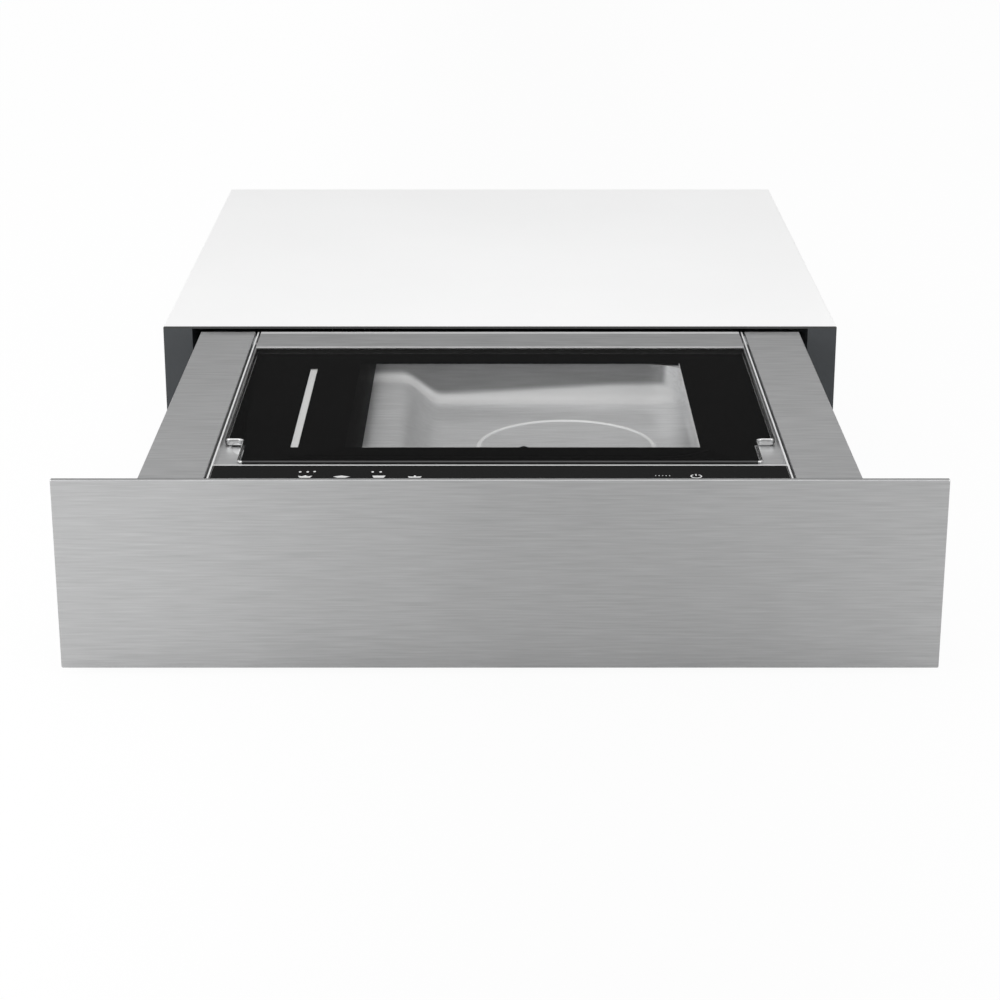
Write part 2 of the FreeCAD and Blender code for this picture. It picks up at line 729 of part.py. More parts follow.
def front_brackets():
    """Two folded brackets that tie the front to the sides of the tray."""
    x0 = -DRAWER_X + DRAWER_SHEET
    y0 = FRONT_BACK_Y + DRAWER_SHEET
    t = FRONT_BRACKET_T
    z = (FLOOR_TOP + FRONT_SCREW_LOW / 2, TRAY_TOP - FRONT_SCREW_HIGH / 2)
    foot = block((x0, x0 + FRONT_BRACKET_FOOT), (y0, y0 + t), z)
    side = block((x0, x0 + t), (y0, y0 + FRONT_BRACKET_ARM), z)
    bracket = fuse([foot, side])
    holes = [screw_hole(vec(x, y0, z), vec(0, 1, 0), 6) for x, z in front_screw_places() if x < -1]
    return both(cut_all(bracket, holes))


def front_screws():
    screws = []
    for x, z in front_screw_places():
        seat = FRONT_BACK_Y + DRAWER_SHEET + (FRONT_BRACKET_T if abs(x) > 1 else 0.0)
        screws.append(screw(vec(x, seat, z), vec(0, -1, 0), 8.0))
    return Part.makeCompound(screws)


# The top of the drawer: deck, covers and control strip

def chamber_outline(grow, z, corner=CHAMBER_CORNER_R):
    """The chamber's rounded rectangle, grown sideways, as a plate between two levels."""
    return rounded_plate(
        (CHAMBER_X0 - grow, CHAMBER_X1 + grow),
        (CHAMBER_Y0 - grow, CHAMBER_Y1 + grow),
        z,
        corner + grow,
    )


def deck_plate():
    """The recessed steel deck, its thin rim, and the flange that lies on the tray."""
    y = (TOP_FRONT_Y, 0.0)
    rim = block((-MODULE_X, MODULE_X), y, (FLANGE_Z - DECK_SHEET, COVER_Z))
    rim = rim.cut(block((-RIM_X, RIM_X), (y[0] + RIM_T, y[1] + 1), (0, COVER_Z + 1)))
    plate = block((-RIM_X, RIM_X), y, (DECK_Z - DECK_SHEET, DECK_Z))
    divider = block((-RIM_X, RIM_X), (-DECK_L, -DECK_L + RIM_T), (DECK_Z, COVER_Z))
    flange = block((-COVER_X, -RIM_X), y, (FLANGE_Z - DECK_SHEET, FLANGE_Z))
    deck = fuse([rim, plate, divider, flange, mirrored(flange)])
    control = control_outline()
    opening = block(
        (control[0][0] + CONTROL_SEAT, control[0][1] - CONTROL_SEAT),
        (control[1][0] + CONTROL_SEAT, control[1][1] - CONTROL_SEAT),
        (0, COVER_Z),
    )
    well = block((-TROUGH_X, TROUGH_X), (TROUGH_FRONT_Y, TROUGH_REAR_Y), (0, COVER_Z))
    pin = rod(PIN_R + 1.0, vec(-MODULE_X - 1, HINGE_Y, HINGE_Z), vec(1, 0, 0), 2 * MODULE_X + 2)
    seat = block((-MODULE_X - BUSH_L - 6, -MODULE_X), bracket_y(), (0, FLANGE_Z + 1))
    mouth = chamber_outline(GASKET_W + GASKET_INSET + MOUTH_GAP, (0, COVER_Z), MOUTH_CORNER_R)
    return cut_all(deck, [mouth, opening, well, pin, seat, mirrored(seat)])


def bracket_y():
    return (HINGE_Y - BRACKET_D / 2, HINGE_Y + BRACKET_D / 2 - 0.5)


def control_outline():
    y1 = -DECK_L - CONTROL_FIT
    y0 = TOP_FRONT_Y + RIM_T + CONTROL_FIT
    return (-RIM_X + CONTROL_FIT, RIM_X - CONTROL_FIT), (y0, y1)


def control_glass():
    x, y = control_outline()
    return rounded_plate(x, y, (COVER_Z - CONTROL_GLASS_T, COVER_Z), 1.0)


def touch_board():
    x, y = control_outline()
    inset = CONTROL_SEAT + BOARD_INSET
    top = COVER_Z - CONTROL_GLASS_T
    board = block((x[0] + inset, x[1] - inset), (y[0] + inset, y[1] - inset), (top - BOARD_T, top))
    chip_y = (y[0] + inset + CHIP_W / 2, y[0] + inset + 3 * CHIP_W / 2)
    chips = []
    for i in range(CHIP_COUNT):
        cx = (i - (CHIP_COUNT - 1) / 2) * CHIP_PITCH
        chips.append(block((cx - CHIP_W / 2, cx + CHIP_W / 2), chip_y, (top - BOARD_T - CHIP_H, top - BOARD_T)))
    return fuse([board] + chips)


def side_cover():
    """The left brushed cover, with a skirt down to the flange on both sides."""
    x = (-COVER_X, -MODULE_X - MODULE_GAP)
    y = (TOP_FRONT_Y, 1.0)
    outer = block(x, y, (FLANGE_Z, COVER_Z))
    edges = [
        e
        for e in outer.Edges
        if abs(e.CenterOfMass.z - COVER_Z) < 0.01 and abs(e.tangentAt(e.FirstParameter).y) > 0.9
    ]
    outer = outer.makeFillet(0.8, edges)
    t = COVER_SHEET
    hollow = block((x[0] + t, x[1] - t), (y[0] + t, y[1] - t), (0, COVER_Z - t))
    gate_y = (bracket_y()[0] - BRACKET_GAP, bracket_y()[1] + BRACKET_GAP)
    gate = block((x[1] - 2 * t, x[1] + 1), gate_y, (0, COVER_Z - t))
    return outer.cut(hollow).cut(gate)


# The vacuum chamber

def chamber_profile(grow):
    """The section across the chamber, a ledge that ramps down to the deep floor, as a closed face."""
    x0, x1 = CHAMBER_X0 - grow, CHAMBER_X1 + grow
    ledge, floor = LEDGE_Z - grow, CHAMBER_Z - grow
    a = vec(CHAMBER_X0 + RAMP_START, 0, ledge)
    d = vec(CHAMBER_X0 + RAMP_START + RAMP_RUN, 0, floor)
    middle = (a + d) * 0.5
    quarter = (d.x - a.x) / 4
    drop = (a.z - d.z) / 8
    slope = vec(quarter * 0.6, 0, -drop * 2.2)
    upper = Part.BezierCurve()
    upper.setPoles([a, vec(a.x + quarter, 0, a.z), middle - slope, middle])
    lower = Part.BezierCurve()
    lower.setPoles([middle, middle + slope, vec(d.x - quarter, 0, d.z), d])
    top = TUB_TOP
    corners = [vec(x1, 0, floor), vec(x1, 0, top), vec(x0, 0, top), vec(x0, 0, ledge)]
    edges = [Part.LineSegment(d, corners[0]).toShape()]
    edges += [Part.LineSegment(corners[i], corners[i + 1]).toShape() for i in range(3)]
    edges += [Part.LineSegment(corners[3], a).toShape(), upper.toShape(), lower.toShape()]
    return Part.Face(Part.Wire(edges))


def chamber_form(grow):
    """The chamber's space, or its outer form when it is grown by the wall."""
    y0, y1 = CHAMBER_Y0 - grow, CHAMBER_Y1 + grow
    face = chamber_profile(grow)
    face.translate(vec(0, y0, 0))
    form = face.extrude(vec(0, y1 - y0, 0))
    upright = [e for e in form.Edges if abs(e.tangentAt(e.FirstParameter).z) > 0.99 and e.Length > 5]
    form = form.makeFillet(CHAMBER_CORNER_R + grow, upright)
    low = [e for e in form.Edges if e.BoundBox.ZMax < LEDGE_Z - grow + 0.1 and on_rim(e)]
    return form.makeFillet(FLOOR_FILLET + grow, low)


def on_rim(edge):
    """True for an edge where the floor meets a wall, false for one that crosses the floor."""
    box = edge.BoundBox
    spans = box.YLength > (CHAMBER_Y1 - CHAMBER_Y0) / 2
    inside = CHAMBER_X0 + 1 < box.XMin and box.XMax < CHAMBER_X1 - 1
    return not (spans and inside)


def chamber_tub():
    wall = CHAMBER_WALL
    tub = chamber_form(wall).cut(chamber_form(0.0))
    flange = chamber_outline(FLANGE_W, (TUB_TOP - wall, TUB_TOP), MOUTH_CORNER_R)
    flange = flange.cut(chamber_outline(0.0, (0, COVER_Z)))
    ring_y = (CHAMBER_Y0 + CHAMBER_Y1) / 2
    deep_x = (CHAMBER_X0 + RAMP_START + RAMP_RUN + RING_LEFT, CHAMBER_X1 - RING_RIGHT)
    ring_r = (deep_x[1] - deep_x[0]) / 2
    bead = Part.makeTorus(ring_r, RING_BEAD, vec(deep_x[0] + ring_r, ring_y, CHAMBER_Z - RING_BEAD * 0.55))
    above = block((CHAMBER_X0, CHAMBER_X1), (CHAMBER_Y0, CHAMBER_Y1), (CHAMBER_Z - wall / 2, COVER_Z))
    bead = bead.common(above)
    tub = fuse([tub, flange, bead])
    holes = [rod(ROD_R + 0.3, vec(SEAL_XC, y, 0), vec(0, 0, 1), COVER_Z) for y in ROD_YS]
    for y in (PORT_Y, VENT_Y):
        holes.append(rod(PORT_BORE_R, vec(PORT_XC, y, 0), vec(0, 0, 1), COVER_Z))
    return cut_all(tub.fuse(suction_nipple()), holes)


def chamber_gasket():
    z = (TUB_TOP, GLASS_Z - GASKET_GAP)
    return chamber_outline(GASKET_W + GASKET_INSET, z).cut(chamber_outline(GASKET_INSET, (0, COVER_Z)))


# The sealing bar and the cylinders that lift it

def seal_bar():
    x = (SEAL_XC - SEAL_W / 2, SEAL_XC + SEAL_W / 2)
    top = SEAL_TOP - TAPE_T - STRIP_T
    return rounded_plate(x, (SEAL_Y0, SEAL_Y1), (LEDGE_Z + SEAL_CLEAR, top), 2.0)


def heating_strip():
    z0 = SEAL_TOP - TAPE_T - STRIP_T
    x = (SEAL_XC - STRIP_W / 2, SEAL_XC + STRIP_W / 2)
    return block(x, (SEAL_Y0 + STRIP_END, SEAL_Y1 - STRIP_END), (z0, z0 + STRIP_T))


def seal_tape():
    """The slippery tape over the strip, held down along both sides of the bar."""
    x = (SEAL_XC - SEAL_W / 2, SEAL_XC + SEAL_W / 2)
    y = (SEAL_Y0 + TAPE_END, SEAL_Y1 - TAPE_END)
    z0 = SEAL_TOP - TAPE_T - STRIP_T
    tape = block((x[0] + 0.5, x[1] - 0.5), y, (z0, SEAL_TOP))
    return tape.cut(heating_strip())


def lift_rods():
    rods = []
    for y in ROD_YS:
        shaft = rod(ROD_R, vec(SEAL_XC, y, piston_z()), vec(0, 0, 1), LEDGE_Z + SEAL_CLEAR - piston_z())
        piston = rod(LIFT_R - LIFT_WALL - 0.1, vec(SEAL_XC, y, piston_z()), vec(0, 0, 1), PISTON_T)
        rods.append(shaft.fuse(piston))
    return Part.makeCompound(rods)


def piston_z():
    return LIFT_TOP - LIFT_H + LIFT_WALL + 2.0


def lift_cylinders():
    bodies = []
    for y in ROD_YS:
        foot = vec(SEAL_XC, y, LIFT_TOP - LIFT_H)
        body = rod(LIFT_R, foot, vec(0, 0, 1), LIFT_H)
        bore = rod(LIFT_R - LIFT_WALL, foot + vec(0, 0, LIFT_WALL), vec(0, 0, 1), LIFT_H - 2 * LIFT_WALL)
        passage = rod(ROD_R + RUNNING_FIT, vec(SEAL_XC, y, LIFT_TOP - LIFT_H / 2), vec(0, 0, 1), LIFT_H)
        bodies.append(body.cut(bore).cut(passage))
    return Part.makeCompound(bodies)


def lift_springs():
    start = piston_z() + PISTON_T + SPRING_WIRE_R + SPRING_PLAY
    end = LIFT_TOP - LIFT_WALL - SPRING_WIRE_R - SPRING_PLAY
    print("gap between coils of the lift springs:", round((end - start) / SPRING_TURNS - 2 * SPRING_WIRE_R, 2))
    radius = (ROD_R + LIFT_R - LIFT_WALL) / 2 - 0.3
    coils = [spring(radius, SPRING_WIRE_R, vec(SEAL_XC, y, start), end - start, SPRING_TURNS) for y in ROD_YS]
    return Part.makeCompound(coils)


def lift_manifold():
    """The air passage that joins the feet of both cylinders, with its valve coil in the middle."""
    top = LIFT_TOP - LIFT_H
    x = (SEAL_XC - MANIFOLD_W / 2, SEAL_XC + MANIFOLD_W / 2)
    bar = block(x, (ROD_YS[0] - LIFT_R, ROD_YS[1] + LIFT_R), (top - MANIFOLD_H, top))
    middle = (ROD_YS[0] + ROD_YS[1]) / 2
    coil = rod(COIL_R, vec(SEAL_XC, middle, top - MANIFOLD_H - COIL_H), vec(0, 0, 1), COIL_H)
    return fuse([bar, coil])


# The lid and its hinge

def lid_outline(z):
    """The lid glass with a finger notch at each front corner, every corner rounded."""
    y = (LID_FRONT_Y, GLASS_REAR_Y)
    notch_y = LID_FRONT_Y + NOTCH_L
    inner = LID_X - NOTCH_W
    left = [(-LID_X, y[1]), (-LID_X, notch_y), (-inner, notch_y), (-inner, y[0])]
    right = [(-px, py) for px, py in reversed(left)]
    ring = [vec(px, py, z[0]) for px, py in left + right]
    face = Part.Face(Part.makePolygon(ring + [ring[0]]))
    plate = face.extrude(vec(0, 0, z[1] - z[0]))
    upright = [
        e
        for e in plate.Edges
        if abs(e.tangentAt(e.FirstParameter).z) > 0.9 and e.CenterOfMass.y < y[1] - 1
    ]
    return plate.makeFillet(NOTCH_R, upright)


def lid_glass():
    glass = lid_outline((GLASS_Z, GLASS_TOP))
    top = [
        e
        for e in glass.Edges
        if abs(e.BoundBox.ZMin - GLASS_TOP) < 0.01 and e.BoundBox.YMax < GLASS_REAR_Y - 0.1
    ]
    return glass.makeChamfer(0.5, top)


def window_limits():
    x = (CHAMBER_X0 + WINDOW_LEFT, CHAMBER_X1 - WINDOW_RIGHT)
    return x, (CHAMBER_Y0 + WINDOW_FRONT, CHAMBER_Y1 - WINDOW_REAR)


def lid_mask():
    """The black print under the glass, with the window and the slot over the sealing bar left clear."""
    z = (GLASS_Z - MASK_T, GLASS_Z)
    print_area = block((-LID_X + 1.5, LID_X - 1.5), (LID_FRONT_Y + NOTCH_L + 1.5, BAR_FRONT_Y), z)
    inner = LID_X - NOTCH_W - 1.5
    tongue = block((-inner, inner), (LID_FRONT_Y + 1.5, LID_FRONT_Y + NOTCH_L + 1.5), z)
    wx, wy = window_limits()
    window = block(wx, wy, (0, COVER_Z + 9))
    slot_y = (CHAMBER_Y0 + SLOT_END, CHAMBER_Y1 - SLOT_END)
    slot = block((SEAL_XC - SLOT_W / 2, SEAL_XC + SLOT_W / 2), slot_y, (0, COVER_Z + 9))
    return cut_all(print_area.fuse(tongue).removeSplitter(), [window, slot])


def counter_bar():
    """The silicone bar glued under the print, that the sealing bar presses the bag against."""
    x = (SEAL_XC - COUNTER_W / 2, SEAL_XC + COUNTER_W / 2)
    return rounded_plate(x, (SEAL_Y0, SEAL_Y1), (GLASS_Z - COUNTER_H, GLASS_Z - MASK_T), 1.5)


def hinge_bar():
    """The brushed profile along the back of the lid, which grips the glass and turns on its pins."""
    y = (BAR_FRONT_Y, -BAR_REAR)
    low = GLASS_Z - BAR_LIP - 1.0
    profile = block((-LID_X, LID_X), y, (low, BAR_TOP))
    slot_z = (GLASS_Z - BAR_FIT, GLASS_TOP + BAR_FIT)
    slot = block((-LID_X - 1, LID_X + 1), (BAR_FRONT_Y - 1, GLASS_REAR_Y + BAR_FIT), slot_z)
    spine = block((-LID_X, LID_X), (HINGE_Y - 6, HINGE_Y + 6), (HINGE_Z - 5.5, low))
    nose = [
        e
        for e in profile.Edges
        if abs(e.CenterOfMass.z - BAR_TOP) < 0.01 and abs(e.CenterOfMass.y - BAR_FRONT_Y) < 0.01
    ]
    profile = profile.makeFillet(0.7, nose)
    bevel = [
        e
        for e in profile.Edges
        if abs(e.CenterOfMass.z - BAR_TOP) < 0.01 and abs(e.CenterOfMass.y + BAR_REAR) < 0.01
    ]
    profile = profile.makeChamfer(3.0, bevel)
    bar = fuse([profile, spine]).cut(slot)
    bore = rod(PIN_R, vec(-LID_X - 1, HINGE_Y, HINGE_Z), vec(1, 0, 0), PIN_GRIP + 1)
    return cut_all(bar, [bore, mirrored(bore)])


def hinge_pins():
    length = PIN_GRIP + MODULE_X + BRACKET_GAP + BUSH_L - PIN_END_PLAY - LID_X
    pin = rod(PIN_R, vec(-LID_X + PIN_GRIP, HINGE_Y, HINGE_Z), vec(-1, 0, 0), length)
    return both(pin)


def hinge_brackets():
    """A die-cast block under each side cover, with the bore that holds the bush."""
    x = (-MODULE_X - BUSH_L - 5, -MODULE_X - BRACKET_GAP)
    z = (FLANGE_Z - BRACKET_H, COVER_Z - COVER_SHEET - BRACKET_GAP)
    body = block(x, bracket_y(), z)
    foot_z = (TRAY_TOP - DRAWER_SHEET - 3.0, TRAY_TOP - DRAWER_SHEET)
    bore = rod(PIN_R + BUSH_WALL, vec(x[1] + 1, HINGE_Y, HINGE_Z), vec(-1, 0, 0), BUSH_L + 1)
    foot = block((-DRAWER_X + DRAWER_SHEET, x[1]), bracket_y(), foot_z)
    return both(fuse([body, foot]).cut(bore))


def hinge_bushes():
    start = vec(-MODULE_X - BRACKET_GAP, HINGE_Y, HINGE_Z)
    return both(tube(PIN_R + BUSH_WALL, PIN_R + RUNNING_FIT, start, vec(-1, 0, 0), BUSH_L))


def hinge_trough():
    """The folded channel under the hinge bar, deep enough for the bar to swing down into."""
    x = (-TROUGH_X - DECK_SHEET, TROUGH_X + DECK_SHEET)
    y = (TROUGH_FRONT_Y - DECK_SHEET, TROUGH_REAR_Y + DECK_SHEET)
    outer = block(x, y, (TROUGH_Z - DECK_SHEET, DECK_Z - DECK_SHEET))
    inner = block((x[0] - 1, x[1] + 1), (TROUGH_FRONT_Y, TROUGH_REAR_Y), (TROUGH_Z, COVER_Z))
    trough = outer.cut(inner)
    end = block((x[0], -TROUGH_X), y, (TROUGH_Z - DECK_SHEET, HINGE_Z - PIN_R - 1.0))
    return fuse([trough, end, mirrored(end)])


# The rear bay: pump, motor, transformer, board and fan

def pump_body():
    x = (PUMP_X - PUMP_W / 2, MOTOR_X0)
    y = (PUMP_FRONT, PUMP_FRONT + PUMP_D)
    body = block(x, y, (PUMP_Z, PUMP_Z + PUMP_H))
    upright = [e for e in body.Edges if abs(e.tangentAt(e.FirstParameter).x) > 0.9]
    body = body.makeFillet(8.0, upright)
    axis = vec(x[0], PUMP_AXIS_Y, PUMP_AXIS_Z)
    bore = rod(PUMP_BORE_R, axis + vec(PUMP_WALL, 0, PUMP_OFFSET), vec(1, 0, 0), PUMP_W - 2 * PUMP_WALL)
    passage = rod(SHAFT_R + RUNNING_FIT, axis + vec(PUMP_W / 2, 0, 0), vec(1, 0, 0), PUMP_W)
    port = rod(PORT_BORE_R, vec(PUMP_X, PUMP_FRONT - 1, hose_z()), vec(0, 1, 0), PUMP_D / 2)
    nipple_y = PUMP_FRONT - PUMP_NIPPLE_L
    nipple = tube(NIPPLE_R, PORT_BORE_R, vec(PUMP_X, nipple_y, hose_z()), vec(0, 1, 0), PUMP_NIPPLE_L + 1)
    feet = [rod(SCREW_R + SCREW_FIT, vec(px, py, PUMP_Z - 1), vec(0, 0, 1), 9) for px, py in pump_foot_places()]
    return cut_all(cut_all(body, [bore, passage, port]).fuse(nipple), feet)


def hose_z():
    return PUMP_AXIS_Z - HOSE_DROP


def pump_foot_places():
    dx, dy = PUMP_W / 2 - PUMP_FOOT_INSET, PUMP_D / 2 - PUMP_FOOT_INSET
    return [(PUMP_X + x, PUMP_AXIS_Y + y) for x in (-dx, dx) for y in (-dy, dy)]


def pump_feet():
    feet = []
    for x, y in pump_foot_places():
        foot = Part.makeCone(PUMP_FOOT_R, PUMP_FOOT_R - 2, PUMP_FOOT_H, vec(x, y, FLOOR_TOP))
        stud = rod(SCREW_R, vec(x, y, PUMP_Z), vec(0, 0, 1), 7)
        feet.append(foot.fuse(stud))
    return Part.makeCompound(feet)


def motor_housing():
    """The finned motor casing, closed at its far end by a bearing cap."""
    start = vec(MOTOR_X0, PUMP_AXIS_Y, PUMP_AXIS_Z)
    casing_r = MOTOR_R - MOTOR_FIN_H
    casing = tube(casing_r, MOTOR_R - MOTOR_WALL, start, vec(1, 0, 0), MOTOR_L)
    fins = []
    fin_x = (MOTOR_X0 + MOTOR_CAP_T, MOTOR_X1 - MOTOR_CAP_T)
    for i in range(MOTOR_FINS):
        fin = block(fin_x, (-MOTOR_FIN_T / 2, MOTOR_FIN_T / 2), (casing_r - MOTOR_FIN_T / 3, MOTOR_R))
        fin.rotate(vec(0, 0, 0), vec(1, 0, 0), 360.0 * i / MOTOR_FINS)
        fin.translate(vec(0, PUMP_AXIS_Y, PUMP_AXIS_Z))
        fins.append(fin)
    cap_start = vec(MOTOR_X1 - MOTOR_CAP_T, PUMP_AXIS_Y, PUMP_AXIS_Z)
    cap = tube(casing_r, SHAFT_R + RUNNING_FIT, cap_start, vec(1, 0, 0), MOTOR_CAP_T)
    return fuse([casing, cap] + fins)


def pump_rotor():
    """The shaft with the slotted pump rotor on one end and the motor's rotor on the other."""
    start = PUMP_X - PUMP_W / 2 + 12
    end = MOTOR_X1 + MOTOR_FAN_L + MOTOR_CAP_T
    shaft = rod(SHAFT_R, vec(start, PUMP_AXIS_Y, PUMP_AXIS_Z), vec(1, 0, 0), end - start)
    drum_l = PUMP_W - 2 * PUMP_WALL - 2 * DRUM_FIT
    drum_x = PUMP_X - PUMP_W / 2 + PUMP_WALL + DRUM_FIT
    drum = rod(ROTOR_R, vec(drum_x, PUMP_AXIS_Y, PUMP_AXIS_Z), vec(1, 0, 0), drum_l)
    drum = cut_all(drum, [vane_space(i, 0.0) for i in range(VANE_COUNT)])
    core_r = MOTOR_R - MOTOR_WALL - MOTOR_AIR
    core_start = vec(MOTOR_X0 + 2 * MOTOR_CAP_T, PUMP_AXIS_Y, PUMP_AXIS_Z)
    core = rod(core_r, core_start, vec(1, 0, 0), MOTOR_L - 4 * MOTOR_CAP_T)
    return fuse([shaft, drum, core])


def vane_space(i, play):
    drum_l = PUMP_W - 2 * PUMP_WALL - 2 * DRUM_FIT
    drum_x = PUMP_X - PUMP_W / 2 + PUMP_WALL + DRUM_FIT
    vane = block(
        (drum_x, drum_x + drum_l), (-VANE_T / 2 + play, VANE_T / 2 - play), (SHAFT_R + 4 + play, ROTOR_R - play)
    )
    vane.rotate(vec(0, 0, 0), vec(1, 0, 0), 360.0 * i / VANE_COUNT)
    vane.translate(vec(0, PUMP_AXIS_Y, PUMP_AXIS_Z))
    return vane


def pump_vanes():
    return Part.makeCompound([vane_space(i, 0.05) for i in range(VANE_COUNT)])


def fan_wheel(hub_r, tip_r, bore_r, length, blades, pitch):
    """A hub with flat pitched blades, about the X axis from the origin."""
    hub = tube(hub_r, bore_r, vec(0, 0, 0), vec(1, 0, 0), length)
    parts = [hub]
    for i in range(blades):
        blade = block((-length, length), (-0.6, 0.6), (hub_r - 0.6, tip_r))
        blade.rotate(vec(0, 0, 0), vec(0, 0, 1), pitch)
        blade = blade.common(block((0.5 - length / 2, length / 2 - 0.5), (-tip_r, tip_r), (0, tip_r)))
        blade.translate(vec(length / 2, 0, 0))
        blade.rotate(vec(0, 0, 0), vec(1, 0, 0), 360.0 * i / blades)
        parts.append(blade)
    return fuse(parts)


def motor_fan():
    wheel = fan_wheel(SHAFT_R + 5, MOTOR_R - 6, SHAFT_R, MOTOR_FAN_L, FAN_BLADES, 35)
    wheel.translate(vec(MOTOR_X1 + 4, PUMP_AXIS_Y, PUMP_AXIS_Z))
    return wheel


def suction_nipple():
    """The nipple welded under the ledge, beside the sealing bar, where the air is drawn out."""
    foot = vec(PORT_XC, PORT_Y, LIFT_TOP)
    disc = tube(PORT_FLANGE_R, PORT_BORE_R, foot - vec(0, 0, PORT_FLANGE_T), vec(0, 0, 1), PORT_FLANGE_T)
    nipple = tube(NIPPLE_R, PORT_BORE_R, foot - vec(0, 0, PORT_L), vec(0, 0, 1), PORT_L - 2)
    return fuse([disc, nipple])


def suction_hose():
    points = [
        vec(PORT_XC, PORT_Y, LIFT_TOP - 8),
        vec(PORT_XC, PORT_Y, hose_z()),
        vec(PORT_XC, PUMP_FRONT - 3, hose_z()),
    ]
    return bent_tube(points, HOSE_R, HOSE_BORE_R)


def vent_valve():
    """The valve that lets air back into the chamber, hung under the ledge by its own flange."""
    seat = vec(PORT_XC, VENT_Y, LIFT_TOP)
    half = VENT_BODY_W / 2
    body_z = (LIFT_TOP - PORT_FLANGE_T - VENT_BODY_H, LIFT_TOP - PORT_FLANGE_T)
    flange = tube(PORT_FLANGE_R, PORT_BORE_R, seat - vec(0, 0, PORT_FLANGE_T), vec(0, 0, 1), PORT_FLANGE_T)
    body = block((PORT_XC - half, PORT_XC + half), (VENT_Y - half, VENT_Y + half), body_z)
    coil = rod(PORT_FLANGE_R, vec(PORT_XC, VENT_Y, body_z[0] - VENT_BODY_W), vec(0, 0, 1), VENT_BODY_W)
    passage = rod(PORT_BORE_R, seat - vec(0, 0, VENT_BODY_W / 2), vec(0, 0, 1), VENT_BODY_W)
    return fuse([flange, body, coil]).cut(passage)


def seal_transformer():
    """The transformer that heats the strip: a laminated core on a foot, round a wound coil."""
    x = (TRAFO_X - TRAFO_W / 2, TRAFO_X + TRAFO_W / 2)
    y0 = PUMP_AXIS_Y - TRAFO_D / 2
    z0 = FLOOR_TOP + TRAFO_FOOT_T
    core_y = (y0 + TRAFO_LEG, y0 + TRAFO_D - TRAFO_LEG)
    core = block(x, core_y, (z0, z0 + TRAFO_H))
    coil_z = (z0 + TRAFO_LEG, z0 + TRAFO_H - TRAFO_LEG)
    coil = block((x[0] + TRAFO_LEG, x[1] - TRAFO_LEG), (y0, y0 + TRAFO_D), coil_z)
    foot = block((x[0] - TRAFO_FOOT, x[1] + TRAFO_FOOT), core_y, (FLOOR_TOP, z0))
    return fuse([core, coil, foot])


def power_board():
    """The board on four standoffs, with relays in front and a heat sink and capacitors behind."""
    x = (TRAFO_X + TRAFO_W / 2 + TRAFO_FOOT + POWER_BOARD_GAP, DRAWER_X - POWER_BOARD_SIDE)
    y = (POWER_BOARD_FRONT, REAR_BAY_D - DRAWER_SHEET - FAN_T - POWER_BOARD_REAR)
    z0 = FLOOR_TOP + BOARD_RAISE
    parts = [block(x, y, (z0, z0 + BOARD_T))]
    inset = 2 * STANDOFF_R
    for sx in (x[0] + inset, x[1] - inset):
        for sy in (y[0] + inset, y[1] - inset):
            parts.append(rod(STANDOFF_R, vec(sx, sy, FLOOR_TOP), vec(0, 0, 1), BOARD_RAISE))
    top = z0 + BOARD_T
    for i in range(RELAY_COUNT):
        start = x[0] + BOARD_EDGE + i * RELAY_PITCH
        relay_y = (y[0] + inset, y[0] + inset + RELAY_D)
        parts.append(block((start, start + RELAY_W), relay_y, (top, top + RELAY_H)))
    for i in range(2):
        place = vec(x[1] - BOARD_EDGE - i * (2 * CAPACITOR_R + 4), y[1] - 2 * CAPACITOR_R, top)
        parts.append(rod(CAPACITOR_R, place, vec(0, 0, 1), CAPACITOR_H))
    sink_x = (x[0] + BOARD_EDGE, x[0] + BOARD_EDGE + HEAT_SINK_L)
    sink_y = (y[1] - 2 * HEAT_SINK_D, y[1] - HEAT_SINK_D)
    parts.append(block(sink_x, sink_y, (top, top + HEAT_SINK_H)))
    return fuse(parts)


def fan_frame():
    y1 = REAR_BAY_D - DRAWER_SHEET
    y0 = y1 - FAN_T
    half = FAN_W / 2
    frame = block((FAN_X - half, FAN_X + half), (y0, y1), (FAN_Z - half, FAN_Z + half))
    frame = frame.makeFillet(4.0, [e for e in frame.Edges if abs(e.tangentAt(e.FirstParameter).y) > 0.9])
    frame = frame.cut(rod(half - 2, vec(FAN_X, y0 - 1, FAN_Z), vec(0, 1, 0), FAN_T + 2))
    spider = [rod(FAN_HUB_R, vec(FAN_X, y1 - 3, FAN_Z), vec(0, 1, 0), 3)]
    for angle in (45, 135, 225, 315):
        arm = block((0, half), (y1 - 3, y1), (-1.5, 1.5))
        arm.rotate(vec(0, 0, 0), vec(0, 1, 0), angle)
        arm.translate(vec(FAN_X, 0, FAN_Z))
        spider.append(arm.common(rod(half - 1, vec(FAN_X, y0, FAN_Z), vec(0, 1, 0), FAN_T)))
    axle = rod(FAN_AXLE_R, vec(FAN_X, y1 - FAN_WHEEL_T - 2, FAN_Z), vec(0, 1, 0), FAN_WHEEL_T)
    return fuse([frame, axle] + spider)


def fan_rotor():
    wheel = fan_wheel(FAN_HUB_R, FAN_W / 2 - 3.5, FAN_AXLE_R + RUNNING_FIT, FAN_WHEEL_T, 7, 40)
    wheel.rotate(vec(0, 0, 0), vec(0, 0, 1), 90)
    wheel.translate(vec(FAN_X, REAR_BAY_D - DRAWER_SHEET - FAN_WHEEL_T - 4, FAN_Z))
    return wheel


# The push latch, the mains inlet and the supply lead in the housing

def latch_front_y():
    return HOUSING_D - HOUSING_SHEET - LATCH_L


